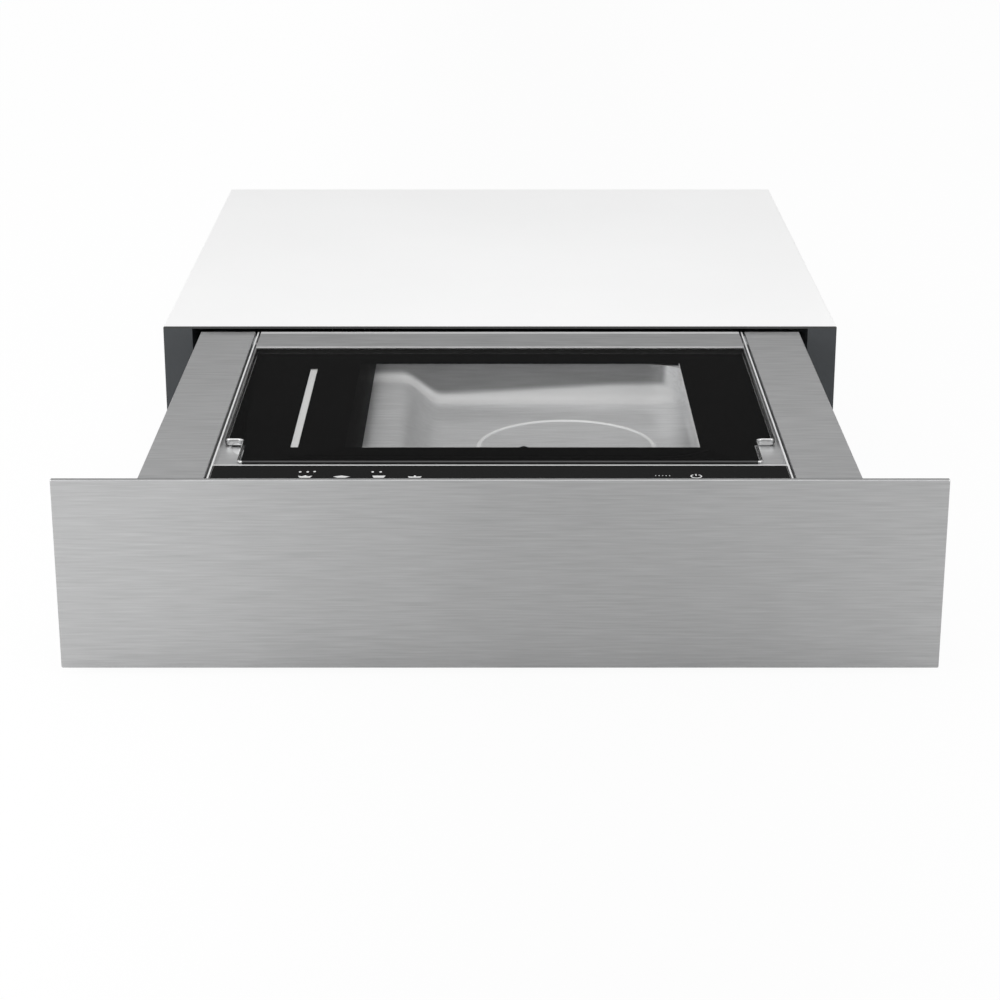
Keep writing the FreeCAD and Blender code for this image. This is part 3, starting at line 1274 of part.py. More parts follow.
def latch_body():
    y = (latch_front_y(), HOUSING_D - HOUSING_SHEET)
    body = block((-LATCH_W / 2, LATCH_W / 2), y, (LATCH_Z - LATCH_H / 2, LATCH_Z + LATCH_H / 2))
    bore = rod(PLUNGER_R + RUNNING_FIT, vec(0, y[0] - 1, LATCH_Z), vec(0, 1, 0), LATCH_L - 1)
    collar = tube(PLUNGER_R + 3, PLUNGER_R + RUNNING_FIT, vec(0, y[0] - 2, LATCH_Z), vec(0, 1, 0), 2)
    return fuse([body.cut(bore), collar])


def plunger_tip_y():
    return REAR_BAY_D + TRAVEL + PLUNGER_GAP


def latch_plunger():
    tip = plunger_tip_y()
    length = latch_front_y() + PLUNGER_SUNK - tip
    stem = rod(PLUNGER_R, vec(0, tip + 2, LATCH_Z), vec(0, 1, 0), length - 2)
    magnet = rod(PLUNGER_R + 2, vec(0, tip, LATCH_Z), vec(0, 1, 0), 3)
    return fuse([stem, magnet])


def latch_spring():
    start = latch_front_y() + PLUNGER_SUNK + SPRING_WIRE_R + SPRING_PLAY
    length = HOUSING_D - HOUSING_SHEET - 3 - start - 2 * SPRING_PLAY
    print("gap between coils of the latch spring:", round(length / 4 - 2 * SPRING_WIRE_R, 2))
    coil = spring(PLUNGER_R - 1.2, SPRING_WIRE_R, vec(0, 0, 0), length, 4)
    coil.rotate(vec(0, 0, 0), vec(1, 0, 0), -90)
    coil.translate(vec(0, start, LATCH_Z))
    return coil


def inlet_block(grow, y):
    """The form of the inlet's body, grown all round, between two planes."""
    half_w = INLET_W / 2 - INLET_FLANGE + grow
    half_h = INLET_H / 2 - INLET_FLANGE + 1 + grow
    return block((INLET_X - half_w, INLET_X + half_w), y, (INLET_Z - half_h, INLET_Z + half_h))


def mains_inlet():
    """The appliance inlet on the rear panel: flange, socket well and three flat pins."""
    y1 = HOUSING_D
    flange_x = (INLET_X - INLET_W / 2, INLET_X + INLET_W / 2)
    flange = block(flange_x, (y1, y1 + 2.5), (INLET_Z - INLET_H / 2, INLET_Z + INLET_H / 2))
    inlet = fuse([flange, inlet_block(0, (y1 - INLET_D, y1))])
    inlet = inlet.cut(inlet_block(-3, (y1 - INLET_D + 5, y1 + 3)))
    pins = []
    for side in (-1, 0, 1):
        px = INLET_X + side * INLET_PIN_PITCH
        pz = INLET_Z + (2 if side == 0 else -2)
        pins.append(block((px - 1, px + 1), (y1 - INLET_D + 4, y1 - 4), (pz - 2, pz + 2)))
    return fuse([inlet] + pins)


def supply_lead():
    """The lead from the inlet to the drawer, drawn out along the housing floor when the drawer is open."""
    low = HOUSING_SHEET + LEAD_R + LEAD_FLOOR_GAP
    back = HOUSING_D - INLET_D
    run = back - REAR_BAY_D
    drift = LEAD_GLAND_X - INLET_X

    def on_floor(across, forward):
        return vec(INLET_X + across * drift, back - forward * run, low)

    points = [
        vec(INLET_X, back, INLET_Z),
        vec(INLET_X, back - LEAD_END, INLET_Z),
        on_floor(0.12, 0.23),
        on_floor(0.50, 0.36),
        on_floor(0.38, 0.50),
        on_floor(0.62, 0.64),
        on_floor(0.98, 0.77),
        vec(LEAD_GLAND_X, REAR_BAY_D + LEAD_END, LEAD_GLAND_Z - LEAD_R),
        vec(LEAD_GLAND_X, REAR_BAY_D - LEAD_R, LEAD_GLAND_Z),
    ]
    return bent_tube(points, LEAD_R, 0)


def main():
    os.makedirs("parts", exist_ok=True)
    save("housing_shell", housing_shell())
    save("top_cover", top_cover())
    save("rear_panel", rear_panel())
    save("side_channel_left", side_channel())
    save("side_channel_right", mirrored(side_channel()))
    save("slide_outer_left", slide_outer())
    save("slide_outer_right", mirrored(slide_outer()))
    save("slide_screws", slide_screws())
    save("latch_body", latch_body())
    save("latch_plunger", latch_plunger())
    save("latch_spring", latch_spring())
    save("mains_inlet", mains_inlet())
    save("supply_lead", supply_lead())
    save("slide_middle_left", slide_middle())
    save("slide_middle_right", mirrored(slide_middle()))
    save("outer_ball_cages", cages("outer_ball"))
    save("inner_ball_cages", cages("inner_ball"))
    save("slide_inner_left", slide_inner())
    save("slide_inner_right", mirrored(slide_inner()))
    save("drawer_tray", drawer_tray())
    save("drawer_rear_panel", drawer_rear_panel())
    save("rear_bay_cover", rear_bay_cover())
    save("front_skin", front_skin())
    save("front_pan", front_pan())
    save("front_brackets", front_brackets())
    save("drawer_screws", Part.makeCompound(tray_screws().Solids + front_screws().Solids))
    save("deck_plate", deck_plate())
    save("side_cover_left", side_cover())
    save("side_cover_right", mirrored(side_cover()))
    save("control_glass", control_glass())
    save("touch_board", touch_board())
    save("chamber_tub", chamber_tub())
    save("chamber_gasket", chamber_gasket())
    save("hinge_trough", hinge_trough())
    save("hinge_brackets", hinge_brackets())
    save("hinge_bushes", hinge_bushes())
    save("lift_cylinders", lift_cylinders())
    save("lift_springs", lift_springs())
    save("lift_manifold", lift_manifold())
    save("pump_body", pump_body())
    save("pump_feet", pump_feet())
    save("motor_housing", motor_housing())
    save("suction_hose", suction_hose())
    save("vent_valve", vent_valve())
    save("seal_transformer", seal_transformer())
    save("power_board", power_board())
    save("fan_frame", fan_frame())
    save("fan_rotor", fan_rotor())
    save("pump_rotor", pump_rotor())
    save("pump_vanes", pump_vanes())
    save("motor_fan", motor_fan())
    save("seal_bar", seal_bar())
    save("heating_strip", heating_strip())
    save("seal_tape", seal_tape())
    save("lift_rods", lift_rods())
    save("lid_glass", lid_glass())
    save("lid_mask", lid_mask())
    save("counter_bar", counter_bar())
    save("hinge_bar", hinge_bar())
    save("hinge_pins", hinge_pins())


main()
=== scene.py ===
import json
import math

import bmesh
import bpy
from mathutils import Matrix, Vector
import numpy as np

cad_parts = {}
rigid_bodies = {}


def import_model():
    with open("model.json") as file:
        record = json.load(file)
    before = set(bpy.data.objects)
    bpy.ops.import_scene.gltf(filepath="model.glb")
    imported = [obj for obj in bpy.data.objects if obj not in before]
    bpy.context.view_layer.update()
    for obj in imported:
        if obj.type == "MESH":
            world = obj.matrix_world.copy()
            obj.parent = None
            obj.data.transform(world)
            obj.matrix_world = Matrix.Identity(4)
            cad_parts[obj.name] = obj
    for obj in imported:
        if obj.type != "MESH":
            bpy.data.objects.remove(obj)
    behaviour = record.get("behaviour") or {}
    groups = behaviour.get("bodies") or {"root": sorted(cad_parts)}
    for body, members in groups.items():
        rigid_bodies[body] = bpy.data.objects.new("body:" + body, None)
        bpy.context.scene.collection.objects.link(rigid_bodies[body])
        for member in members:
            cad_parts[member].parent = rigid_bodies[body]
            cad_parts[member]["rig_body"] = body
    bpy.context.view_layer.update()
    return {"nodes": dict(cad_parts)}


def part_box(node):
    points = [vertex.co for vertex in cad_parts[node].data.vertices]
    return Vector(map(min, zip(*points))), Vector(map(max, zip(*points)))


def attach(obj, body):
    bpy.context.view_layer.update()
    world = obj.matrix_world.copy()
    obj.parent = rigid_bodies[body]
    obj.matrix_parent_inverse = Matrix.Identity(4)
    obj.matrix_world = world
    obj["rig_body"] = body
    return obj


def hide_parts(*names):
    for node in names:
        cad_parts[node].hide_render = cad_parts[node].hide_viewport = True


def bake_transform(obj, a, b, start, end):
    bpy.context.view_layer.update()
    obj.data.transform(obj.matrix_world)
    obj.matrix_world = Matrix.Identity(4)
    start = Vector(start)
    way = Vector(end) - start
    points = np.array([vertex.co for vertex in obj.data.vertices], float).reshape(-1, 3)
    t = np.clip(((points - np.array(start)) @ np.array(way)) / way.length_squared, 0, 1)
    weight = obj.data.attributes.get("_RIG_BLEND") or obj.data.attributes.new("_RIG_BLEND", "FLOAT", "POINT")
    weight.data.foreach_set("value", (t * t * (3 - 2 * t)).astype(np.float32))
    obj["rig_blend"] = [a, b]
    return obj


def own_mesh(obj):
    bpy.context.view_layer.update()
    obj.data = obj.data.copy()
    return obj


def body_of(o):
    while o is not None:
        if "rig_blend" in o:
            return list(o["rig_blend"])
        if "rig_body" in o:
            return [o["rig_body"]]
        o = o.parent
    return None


for leftover in list(bpy.data.objects):
    bpy.data.objects.remove(leftover)
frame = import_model()
nodes = frame["nodes"]
scene = bpy.context.scene
scene.view_settings.view_transform = "Standard"

# Camera: it looks down on the open drawer from in front, as the photograph does,
# with a long lens, so that the housing behind is only a little smaller than the front.
CAMERA_PLACE = (0.0, -1.965, 0.6597)
CAMERA_PITCH = math.radians(19.17)
LENS, SENSOR_WIDTH = 88.24, 36.0
camera = bpy.data.objects.new("camera", bpy.data.cameras.new("camera"))
camera.data.lens = LENS
camera.data.sensor_width = SENSOR_WIDTH
camera.location = CAMERA_PLACE
camera.rotation_euler = (math.pi / 2 - CAMERA_PITCH, 0.0, 0.0)
scene.collection.objects.link(camera)
scene.camera = camera


# Supply lead and suction hose: a round rubber mains lead that lies on the housing floor and
# follows the drawer, and a short reinforced hose from the chamber down to the pump.
# Both are pushed over or clamped in their fittings at the two ends.
class Sock:
    """A node's output, with arithmetic written as ordinary operators."""

    def __init__(self, graph, socket):
        self.graph = graph
        self.socket = socket

    def math(self, operation, *values):
        return self.graph.node("ShaderNodeMath", (self,) + values, operation=operation)

    def __add__(self, other):
        return self.math("ADD", other)

    def __mul__(self, other):
        return self.math("MULTIPLY", other)

    def __sub__(self, other):
        return self.math("SUBTRACT", other)

    def __rsub__(self, other):
        return self.math("MULTIPLY", -1.0).math("ADD", other)


class Graph:
    """A node tree that is built one node at a time."""

    def __init__(self, tree):
        self.tree = tree

    def feed(self, place, value):
        if isinstance(value, Sock):
            self.tree.links.new(value.socket, place)
        elif isinstance(value, tuple) and len(value) == 3 and len(place.default_value) == 4:
            place.default_value = value + (1.0,)
        else:
            place.default_value = value

    def node(self, kind, sockets=(), out=0, **settings):
        made = self.tree.nodes.new(kind)
        for name, value in settings.items():
            setattr(made, name, value)
        pairs = sockets.items() if isinstance(sockets, dict) else enumerate(sockets)
        for key, value in pairs:
            if value is not None:
                self.feed(made.inputs[key], value)
        return Sock(self, made.outputs[out]) if made.outputs else None


class Look(Graph):
    """The finish of a surface, or the light of the studio round it."""

    # A Mix node's sockets for colours, which share their names with those for numbers.
    MIX_FACTOR, MIX_A, MIX_B, MIX_COLOUR = 0, 6, 7, 2

    def __init__(self, name, owner=None, **constants):
        self.owner = owner or bpy.data.materials.new(name)
        self.owner.use_nodes = True
        super().__init__(self.owner.node_tree)
        self.shader = self.tree.nodes["Background" if owner else "Principled BSDF"]
        self.set(**constants)

    def set(self, **values):
        for name, value in values.items():
            self.feed(self.shader.inputs[name.replace("_", " ")], value)
        return self

    def place(self):
        return self.node("ShaderNodeTexCoord", out="Object")

    def split(self, vector):
        first = self.node("ShaderNodeSeparateXYZ", (vector,))
        return [Sock(self, output) for output in first.socket.node.outputs]

    def scaled(self, vector, x, y, z):
        return self.node("ShaderNodeVectorMath", (vector, (x, y, z)), operation="MULTIPLY")

    def noise(self, vector, scale, detail):
        return self.node("ShaderNodeTexNoise", {"Vector": vector, "Scale": scale, "Detail": detail})

    def span(self, value, low, high, to_low=0.0, to_high=1.0):
        sockets = (value, low, high, to_low, to_high)
        return self.node("ShaderNodeMapRange", sockets, interpolation_type="SMOOTHSTEP")

    def mix(self, factor, a, b):
        sockets = {self.MIX_FACTOR: factor, self.MIX_A: a, self.MIX_B: b}
        return self.node("ShaderNodeMix", sockets, out=self.MIX_COLOUR, data_type="RGBA")

    def bump(self, height, distance):
        bump = self.node("ShaderNodeBump", {"Strength": 1.0, "Distance": distance, "Height": height})
        return self.set(Normal=bump)

    def surface(self, shader):
        self.tree.links.new(shader.socket, self.tree.nodes["Material Output"].inputs[0])
        return self


def grey(value):
    return (value, value, value)


def moulded(name, colour, rough, grain=1500.0, deep=0.00002, coat=0.0):
    """Rubber, plastic or paint: one colour that varies a little, over a fine grain."""
    deepest, gloss_range = 0.82, 0.08
    look = Look(name, Coat_Weight=coat)
    place = look.place()
    cloud = look.noise(place, 9.0, 3.0)
    darker = tuple(v * deepest for v in colour)
    look.set(
        Base_Color=look.mix(cloud, darker, colour),
        Roughness=cloud * gloss_range + (rough - gloss_range / 2),
    )
    return look.bump(look.noise(place, grain, 3.0), deep)


def new_piece(name, mesh, body, *looks):
    for look in looks:
        mesh.materials.append(look.owner)
    piece = bpy.data.objects.new(name, mesh)
    scene.collection.objects.link(piece)
    if body:
        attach(piece, body)
    return piece


WELD_REACH = 1e-6


def flexible_tube(name, route, radius):
    """The smooth line through the bends of a route, and the round tube about it."""
    curve = bpy.data.curves.new(name, "CURVE")
    curve.dimensions = "3D"
    curve.resolution_u = 16
    spline = curve.splines.new("NURBS")
    spline.points.add(len(route) - 1)
    for point, place in zip(spline.points, route):
        point.co = place + (1.0,)
    spline.order_u = 3
    spline.use_endpoint_u = True
    thread = bpy.data.objects.new(name, curve)
    line = [v.co.copy() for v in bpy.data.meshes.new_from_object(thread).vertices]
    curve.bevel_depth = radius
    curve.bevel_resolution = 6
    curve.use_fill_caps = True
    tube = bpy.data.meshes.new_from_object(thread)
    bpy.data.objects.remove(thread)
    shell = bmesh.new()
    shell.from_mesh(tube)
    bmesh.ops.remove_doubles(shell, verts=shell.verts, dist=WELD_REACH)
    bmesh.ops.recalc_face_normals(shell, faces=shell.faces)
    for face in shell.faces:
        face.smooth = len(face.verts) == 4
    shell.to_mesh(tube)
    shell.free()
    return line, tube


LEAD_RADIUS = 0.0035
LEAD_ROUTE = [
    (-0.2, 0.523, 0.04), (-0.2, 0.478, 0.04), (-0.1904, 0.42686, 0.0048), (-0.16, 0.37252, 0.0048),
    (-0.1696, 0.314, 0.0048), (-0.1504, 0.25548, 0.0048), (-0.1216, 0.20114, 0.0048),
    (-0.12, 0.15, 0.0285), (-0.12, 0.1015, 0.032),
]
LEAD_STAYS = (-0.2, 0.46, 0.04)
HOSE_RADIUS = 0.006
HOSE_ROUTE = [
    (-0.172, -0.11, 0.0965), (-0.172, -0.11, 0.0472),
    (-0.172, -0.0607, 0.0472), (-0.172, 0.011, 0.0472),
]

lead_line, lead_tube = flexible_tube("flex_lead", LEAD_ROUTE, LEAD_RADIUS)
flex_lead = new_piece("flex_lead", lead_tube, None, moulded("lead_rubber", grey(0.015), 0.5, 900.0))
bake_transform(flex_lead, "housing", "drawer", start=LEAD_STAYS, end=LEAD_ROUTE[-1])
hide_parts("supply_lead")

hose_line, hose_tube = flexible_tube("suction_line", HOSE_ROUTE, HOSE_RADIUS)
hose_grey = moulded("hose_grey", (0.10, 0.10, 0.11), 0.35, 700.0)
suction_line = new_piece("suction_line", hose_tube, "drawer", hose_grey)
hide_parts("suction_hose")


# Studio: a pale floor that the housing stands on, a white surround and three soft lamps.
# What metal and glass mirror is a plain studio that is dark low down behind the object.
STUDIO_BRIGHT, STUDIO_DARK, SIDE_LEAN = 0.86, 0.035, 0.10
BEHIND, DARK_FROM, DARK_TO = (0.15, 0.55), (0.02, 0.12), (0.345, 0.46)

world = bpy.data.worlds.new("studio")
scene.world = world
studio = Look("studio", owner=world)
head_x, head_y, head_z = studio.split(studio.node("ShaderNodeTexCoord", out="Generated"))
behind = studio.span(head_y, *BEHIND)
dark = behind * studio.span(head_z, *DARK_FROM) * studio.span(head_z, *DARK_TO, 1.0, 0.0)
side = studio.span(head_x, -0.9, 0.9, SIDE_LEAN, -SIDE_LEAN)
studio_tone = (1.0 - dark) * (side + STUDIO_BRIGHT) + dark * STUDIO_DARK
camera_ray = studio.node("ShaderNodeLightPath", out="Is Camera Ray")
around = studio.mix(studio_tone, grey(0.0), grey(1.0))
studio.set(Color=studio.mix(camera_ray, around, grey(1.0)), Strength=1.0)

FLOOR_REACH = 9.0
FLOOR_LEFT_TONE, FLOOR_RIGHT_TONE, FLOOR_FAR_RISE = 0.96, 0.60, 0.18
GLOW_SHARE = 0.95
corners = [(x * FLOOR_REACH, y * FLOOR_REACH, 0.0) for x, y in ((-1, -1), (1, -1), (1, 1), (-1, 1))]
floor_mesh = bpy.data.meshes.new("floor")
floor_mesh.from_pydata(corners, [], [(0, 1, 2, 3)])
pale = Look("pale_floor", Roughness=0.9, Specular_IOR_Level=0.0)
# The floor's tone is painted light: lighter on the left, darker in the middle and a little lighter again on
# the right, mirrored by the front in place of a lamp.
floor_x = pale.split(pale.place())[0]
near_painted_light = pale.span(floor_x, -0.36, 0.06, FLOOR_LEFT_TONE, FLOOR_RIGHT_TONE)
floor_painted_light = near_painted_light + pale.span(floor_x, 0.10, 0.40, 0.0, FLOOR_FAR_RISE)
pale.set(Base_Color=pale.mix(floor_painted_light, grey(0.0), grey(1.0)))
glow = pale.node("ShaderNodeEmission", (grey(1.0), 1.0))
seen = pale.node("ShaderNodeLightPath", out="Is Camera Ray")
ground = Sock(pale, pale.shader.outputs[0])
pale.surface(pale.node("ShaderNodeMixShader", (seen * GLOW_SHARE, ground, glow)))
new_piece("floor", floor_mesh, None, pale)


def softbox(name, place, aim, width, height, power):
    light = bpy.data.lights.new(name, "AREA")
    light.shape = "RECTANGLE"
    light.size = width
    light.size_y = height
    light.energy = power
    lamp = bpy.data.objects.new(name, light)
    lamp.location = place
    lamp.rotation_euler = (Vector(aim) - Vector(place)).to_track_quat("-Z", "Y").to_euler()
    scene.collection.objects.link(lamp)


softbox("overhead", (0.0, -0.35, 1.5), (0.0, -0.2, 0.1), width=1.6, height=1.0, power=5.0)
softbox("front_left", (-1.5, -1.9, 0.9), (-0.2, -0.3, 0.1), width=0.9, height=0.9, power=8.0)
softbox("front_right", (1.6, -1.6, 0.8), (0.2, -0.3, 0.1), width=0.7, height=0.9, power=4.0)


# Housing, drawer tray and front pan: folded zinc-coated sheet, spot welded at the corners.
# The crystals of the zinc differ a little in tone and gloss.
def dress(look, *names):
    for name in names:
        for place in nodes[name].material_slots:
            place.material = look.owner


CRYSTAL_SWAY = 0.004


def zinc_sheet():
    """Crystals and a fine dust over them, in tone, in gloss and a little in height."""
    look = Look("zinc_sheet", Metallic=1.0)
    place = look.place()
    ripple = look.node("ShaderNodeTexNoise", {"Vector": place, "Scale": 60.0}, out="Color")
    sway = look.scaled(ripple, *grey(CRYSTAL_SWAY))
    warped = look.node("ShaderNodeVectorMath", (place, sway), operation="ADD")
    crystal = look.node("ShaderNodeTexVoronoi", {"Vector": warped, "Scale": 140.0}, out="Color")
    tone = look.node("ShaderNodeRGBToBW", (crystal,))
    dust = look.noise(place, 700.0, 3.0)
    level = tone * 0.12 + dust * 0.05 + 0.50
    look.set(Base_Color=look.mix(level, grey(0.0), (0.97, 0.99, 1.0)), Roughness=tone * 0.14 + 0.34)
    return look.bump(tone * 0.5 + dust * 0.5, 0.000015)


dress(
    zinc_sheet(),
    "housing_shell", "rear_panel", "drawer_tray", "drawer_rear_panel", "front_pan", "front_brackets",
)


# Top cover: one flat sheet with a white baked coat, laid on the shell and folded at its sides.
# Its front edge is painted dark with the columns below it.
FRONT_EDGE_DEPTH, FRONT_EDGE_BLUR = 0.0012, 0.0002
FRONT_EDGE_TONE, COAT_DEEP, COAT_PALE = 0.065, 0.91, 0.94


def white_coated():
    look = Look("white_coat", Specular_IOR_Level=0.2)
    place = look.place()
    along = look.split(place)[1]
    edge = look.span(along, FRONT_EDGE_DEPTH, FRONT_EDGE_DEPTH + FRONT_EDGE_BLUR, 1.0, 0.0)
    cloud = look.noise(place, 6.0, 3.0)
    coat = look.mix(cloud, grey(COAT_DEEP), grey(COAT_PALE))
    look.set(Base_Color=look.mix(edge, coat, grey(FRONT_EDGE_TONE)), Roughness=cloud * 0.06 + 0.5)
    return look.bump(look.noise(place, 1200.0, 3.0), 0.00001)


dress(white_coated(), "top_cover")


# Side channels: powder-coated folded sheet, whose front columns show beside the drawer and
# whose walls carry the slides. The hinge trough and the rear bay cover have the same coat.
anthracite = moulded("anthracite", (0.050, 0.055, 0.060), 0.42, 1400.0, 0.00001)
dress(anthracite, "side_channel_left", "side_channel_right", "hinge_trough", "rear_bay_cover")


# Slides: zinc-plated rails in three parts, with hardened balls in steel cages between them,
# screwed to the channels and to the tray. The lid's pins and the lift rods are ground steel.
def bare_metal(name, colour, rough, grain=600.0, deep=0.00001):
    """Plated, ground or cast metal: fine specks over soft clouds, in tone and in gloss."""
    deepest, gloss_range = 0.78, 0.14
    look = Look(name, Metallic=1.0)
    place = look.place()
    speck = look.noise(place, grain, 4.0)
    cloud = look.noise(place, 25.0, 3.0)
    darker = tuple(v * deepest for v in colour)
    look.set(
        Base_Color=look.mix(cloud * 0.7 + speck * 0.3, darker, colour),
        Roughness=speck * gloss_range + (rough - gloss_range / 2),
    )
    return look.bump(speck, deep)


sides = ("left", "right")
rails = [f"slide_{part}_{side_name}" for part in ("outer", "middle", "inner") for side_name in sides]
dress(bare_metal("zinc_plate", (0.62, 0.63, 0.65), 0.33), *rails)
dress(bare_metal("hard_steel", (0.66, 0.66, 0.67), 0.18), "outer_ball_cages", "inner_ball_cages")
dress(bare_metal("screw_plate", (0.60, 0.60, 0.61), 0.28), "slide_screws", "drawer_screws")
dress(bare_metal("ground_pin", (0.68, 0.68, 0.69), 0.20), "hinge_pins", "lift_rods", "pump_rotor")
spring_wire = bare_metal("spring_wire", (0.55, 0.55, 0.56), 0.25)
dress(spring_wire, "heating_strip")
dress(bare_metal("sintered_bronze", (0.60, 0.42, 0.20), 0.32), "hinge_bushes")


# Springs: coils of round steel wire, one behind the latch's plunger and one round each lift rod. The latch's
# body and the lift's cylinders hold them.
def coils(name, node):
    """A copy of the spring, in spring wire, on the spring's own body."""
    spring = new_piece(name, nodes[node].data.copy(), None)
    spring.data.materials.clear()
    spring.data.materials.append(spring_wire.owner)
    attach(spring, body_of(nodes[node])[0])
    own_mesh(spring)
    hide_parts(node)


SPRING_SLOT = nodes["latch_spring"].data.materials[0].name.split(".")[0]
coils("latch_coil", "latch_spring")
coils("lift_coils", "lift_springs")


# Latch and mains inlet: moulded parts that clip into the rear of the housing. The manifold,
# the valve, the pump's vanes and the fans, which sit in the drawer, are moulded in black too.
dress(moulded("latch_grey", grey(0.22), 0.45), "latch_body", "latch_plunger")
nylon = moulded("black_nylon", grey(0.022), 0.45, 1500.0, 0.00003)
dress(
    nylon,
    "mains_inlet", "lift_manifold", "vent_valve", "fan_frame", "fan_rotor", "pump_vanes", "motor_fan",
)


# Front, side covers and hinge bar: brushed stainless steel, folded so that their edges are rounded. The
# rounded edges carry a painted highlight, a pale and less metallic steel. The front hangs on the pan, and
# the covers lie on the tray.
HIGHLIGHT_TONE, HIGHLIGHT_LESS_METAL = 0.92, 0.6


def brushed(
    name, tone, rough, streak=(26.0, 330.0, 500.0), strength=0.26,
    painted_highlight=None, metal=1.0, painted_shade=None,
):
    """Ground steel: marks along one axis, in tone, gloss and depth, with painted highlights and painted
    shade where masks are given.
    """
    look = Look(name)
    place = look.place()
    hair = look.noise(look.scaled(place, 40.0, 1500.0, 1500.0), 1.0, 4.0)
    band = look.noise(look.scaled(place, *streak), 1.0, 3.0)
    cloud = look.noise(place, 5.0, 2.0)
    # Painted highlight: a pale, less metallic tone where the given mask is high.
    bright = painted_highlight(look, *look.split(place)) if painted_highlight else cloud * 0.0
    level = hair * 0.10 + (band - 0.5) * strength + cloud * 0.06 + (tone - 0.08)
    # Painted shade: the tone is darkened where the given mask is high.
    if painted_shade:
        level = level * (1.0 - painted_shade(look, *look.split(place)))
    plain = look.mix(level, grey(0.0), (0.99, 0.995, 1.0))
    look.set(
        Base_Color=look.mix(bright, plain, grey(HIGHLIGHT_TONE)),
        Roughness=hair * 0.12 + cloud * 0.04 + (rough - 0.08),
        Metallic=metal - bright * HIGHLIGHT_LESS_METAL,
    )
    return look.bump(hair, 0.000010)


FLAT_ANGLE, SHARP_ANGLE, BEVEL_STEPS = math.radians(0.5), math.radians(35), 3


def eased(name, node, width, *looks):
    """A piece made from its solid, with its sharp edges rounded off by that width."""
    slot_name = nodes[node].data.materials[0].name.split(".")[0]
    solid = bmesh.new()
    solid.from_mesh(nodes[node].data)
    bmesh.ops.remove_doubles(solid, verts=solid.verts, dist=WELD_REACH)
    bmesh.ops.dissolve_limit(solid, angle_limit=FLAT_ANGLE, verts=solid.verts, edges=solid.edges)
    mesh = bpy.data.meshes.new(name)
    solid.to_mesh(mesh)
    solid.free()
    body = body_of(nodes[node])[0]
    piece = new_piece(name, mesh, None, *looks)
    bevel = piece.modifiers.new("edges", "BEVEL")
    bevel.material = len(looks) - 1
    bevel.width = width
    bevel.segments = BEVEL_STEPS
    bevel.limit_method = "ANGLE"
    bevel.angle_limit = SHARP_ANGLE
    bevel.use_clamp_overlap = True
    piece.modifiers.new("shading", "WEIGHTED_NORMAL").keep_sharp = True
    for face in mesh.polygons:
        face.use_smooth = True
    view = bpy.context.evaluated_depsgraph_get()
    finished = bpy.data.meshes.new_from_object(piece.evaluated_get(view))
    piece.modifiers.clear()
    piece.data = finished
    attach(piece, body)
    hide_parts(node)
    return piece


COVER_FAR_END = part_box("side_cover_left")[1].y
COVER_TURN_FROM, COVER_TURN_TO, COVER_END_HIGHLIGHT_SHARE = 0.0065, 0.0055, 0.35
BAR_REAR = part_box("hinge_bar")[1].y
BAR_TURN_FROM, BAR_TURN_TO, BAR_BACK_HIGHLIGHT_SHARE = 0.009, 0.0082, 0.6


def cover_end_highlight(look, across, along, up):
    """A painted highlight across the turned-down end of a side cover, in place of the light that its bend
    catches.
    """
    turn = look.span(along, COVER_FAR_END - COVER_TURN_FROM, COVER_FAR_END - COVER_TURN_TO)
    return turn * COVER_END_HIGHLIGHT_SHARE


def bar_back_highlight(look, across, along, up):
    """A painted highlight on the rear of the hinge bar, round its bend."""
    return look.span(along, BAR_REAR - BAR_TURN_FROM, BAR_REAR - BAR_TURN_TO) * BAR_BACK_HIGHLIGHT_SHARE


front_steel = brushed("front_steel", 0.50, 0.36, (26.0, 700.0, 700.0), 0.17)
cover_steel = brushed("cover_steel", 0.62, 0.40, painted_highlight=cover_end_highlight)
bar_steel = brushed("bar_steel", 0.55, 0.40, painted_highlight=bar_back_highlight)
# Painted highlight: the rounded edges get a pale, less metallic steel.
edge_steel = brushed("edge_steel", 0.92, 0.30, metal=0.6)
eased("front_face", "front_skin", 0.0013, front_steel, edge_steel)
eased("cover_left", "side_cover_left", 0.0009, cover_steel, edge_steel)
eased("cover_right", "side_cover_right", 0.0009, cover_steel, edge_steel)
eased("hinge_rail", "hinge_bar", 0.0006, bar_steel, edge_steel)


# Deck: one satin sheet with a thin upright rim round it, pressed from the same piece as the opening for the
# chamber. The top of the rim carries a painted highlight, pale and less metallic.
RIM_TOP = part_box("deck_plate")[1].z
CREST_FROM, CREST_TO = 0.0006, 0.0003


def rim_crest_highlight(look, across, along, up):
    """A painted highlight along the top of the rim."""
    return look.span(up, RIM_TOP - CREST_FROM, RIM_TOP - CREST_TO)


dress(brushed("deck_steel", 0.66, 0.38, strength=0.25, painted_highlight=rim_crest_highlight), "deck_plate")


# Chamber: a deep-drawn satin tub with a ramp and a raised ring in its floor, and a black
# silicone lip round it that the glass presses on.
RING_PLACE, RING_RADIUS, RING_HALF = (0.0505, -0.198), 0.0664, 0.0022
RAMP_FROM, RAMP_TO, LEDGE_LEVEL, FLOOR_LEVEL = -0.080, -0.045, 0.106, 0.088
REAR_BEND_FROM, REAR_BEND_TO, REAR_WALL_FROM, REAR_WALL_TO = -0.090, -0.085, -0.084, -0.081
DEEP_END, BEND_TOP_SHALLOW, BEND_TOP_DEEP, BEND_BLUR = 0.13, 0.0015, 0.010, 0.005
SHADE_FROM, SHADE_TO, SHADE_SHARE = 0.001, 0.008, 0.62


def above_floor(look, across, up):
    """Height over the floor, which ramps down from the ledge under the sealing bar."""
    return up - look.span(across, RAMP_FROM, RAMP_TO, LEDGE_LEVEL, FLOOR_LEVEL)


def bend_top(look, across):
    """How far up the rear wall the painted highlight on the bend reaches: more beside the deep end."""
    return look.span(across, RAMP_FROM, DEEP_END, BEND_TOP_SHALLOW, BEND_TOP_DEEP)


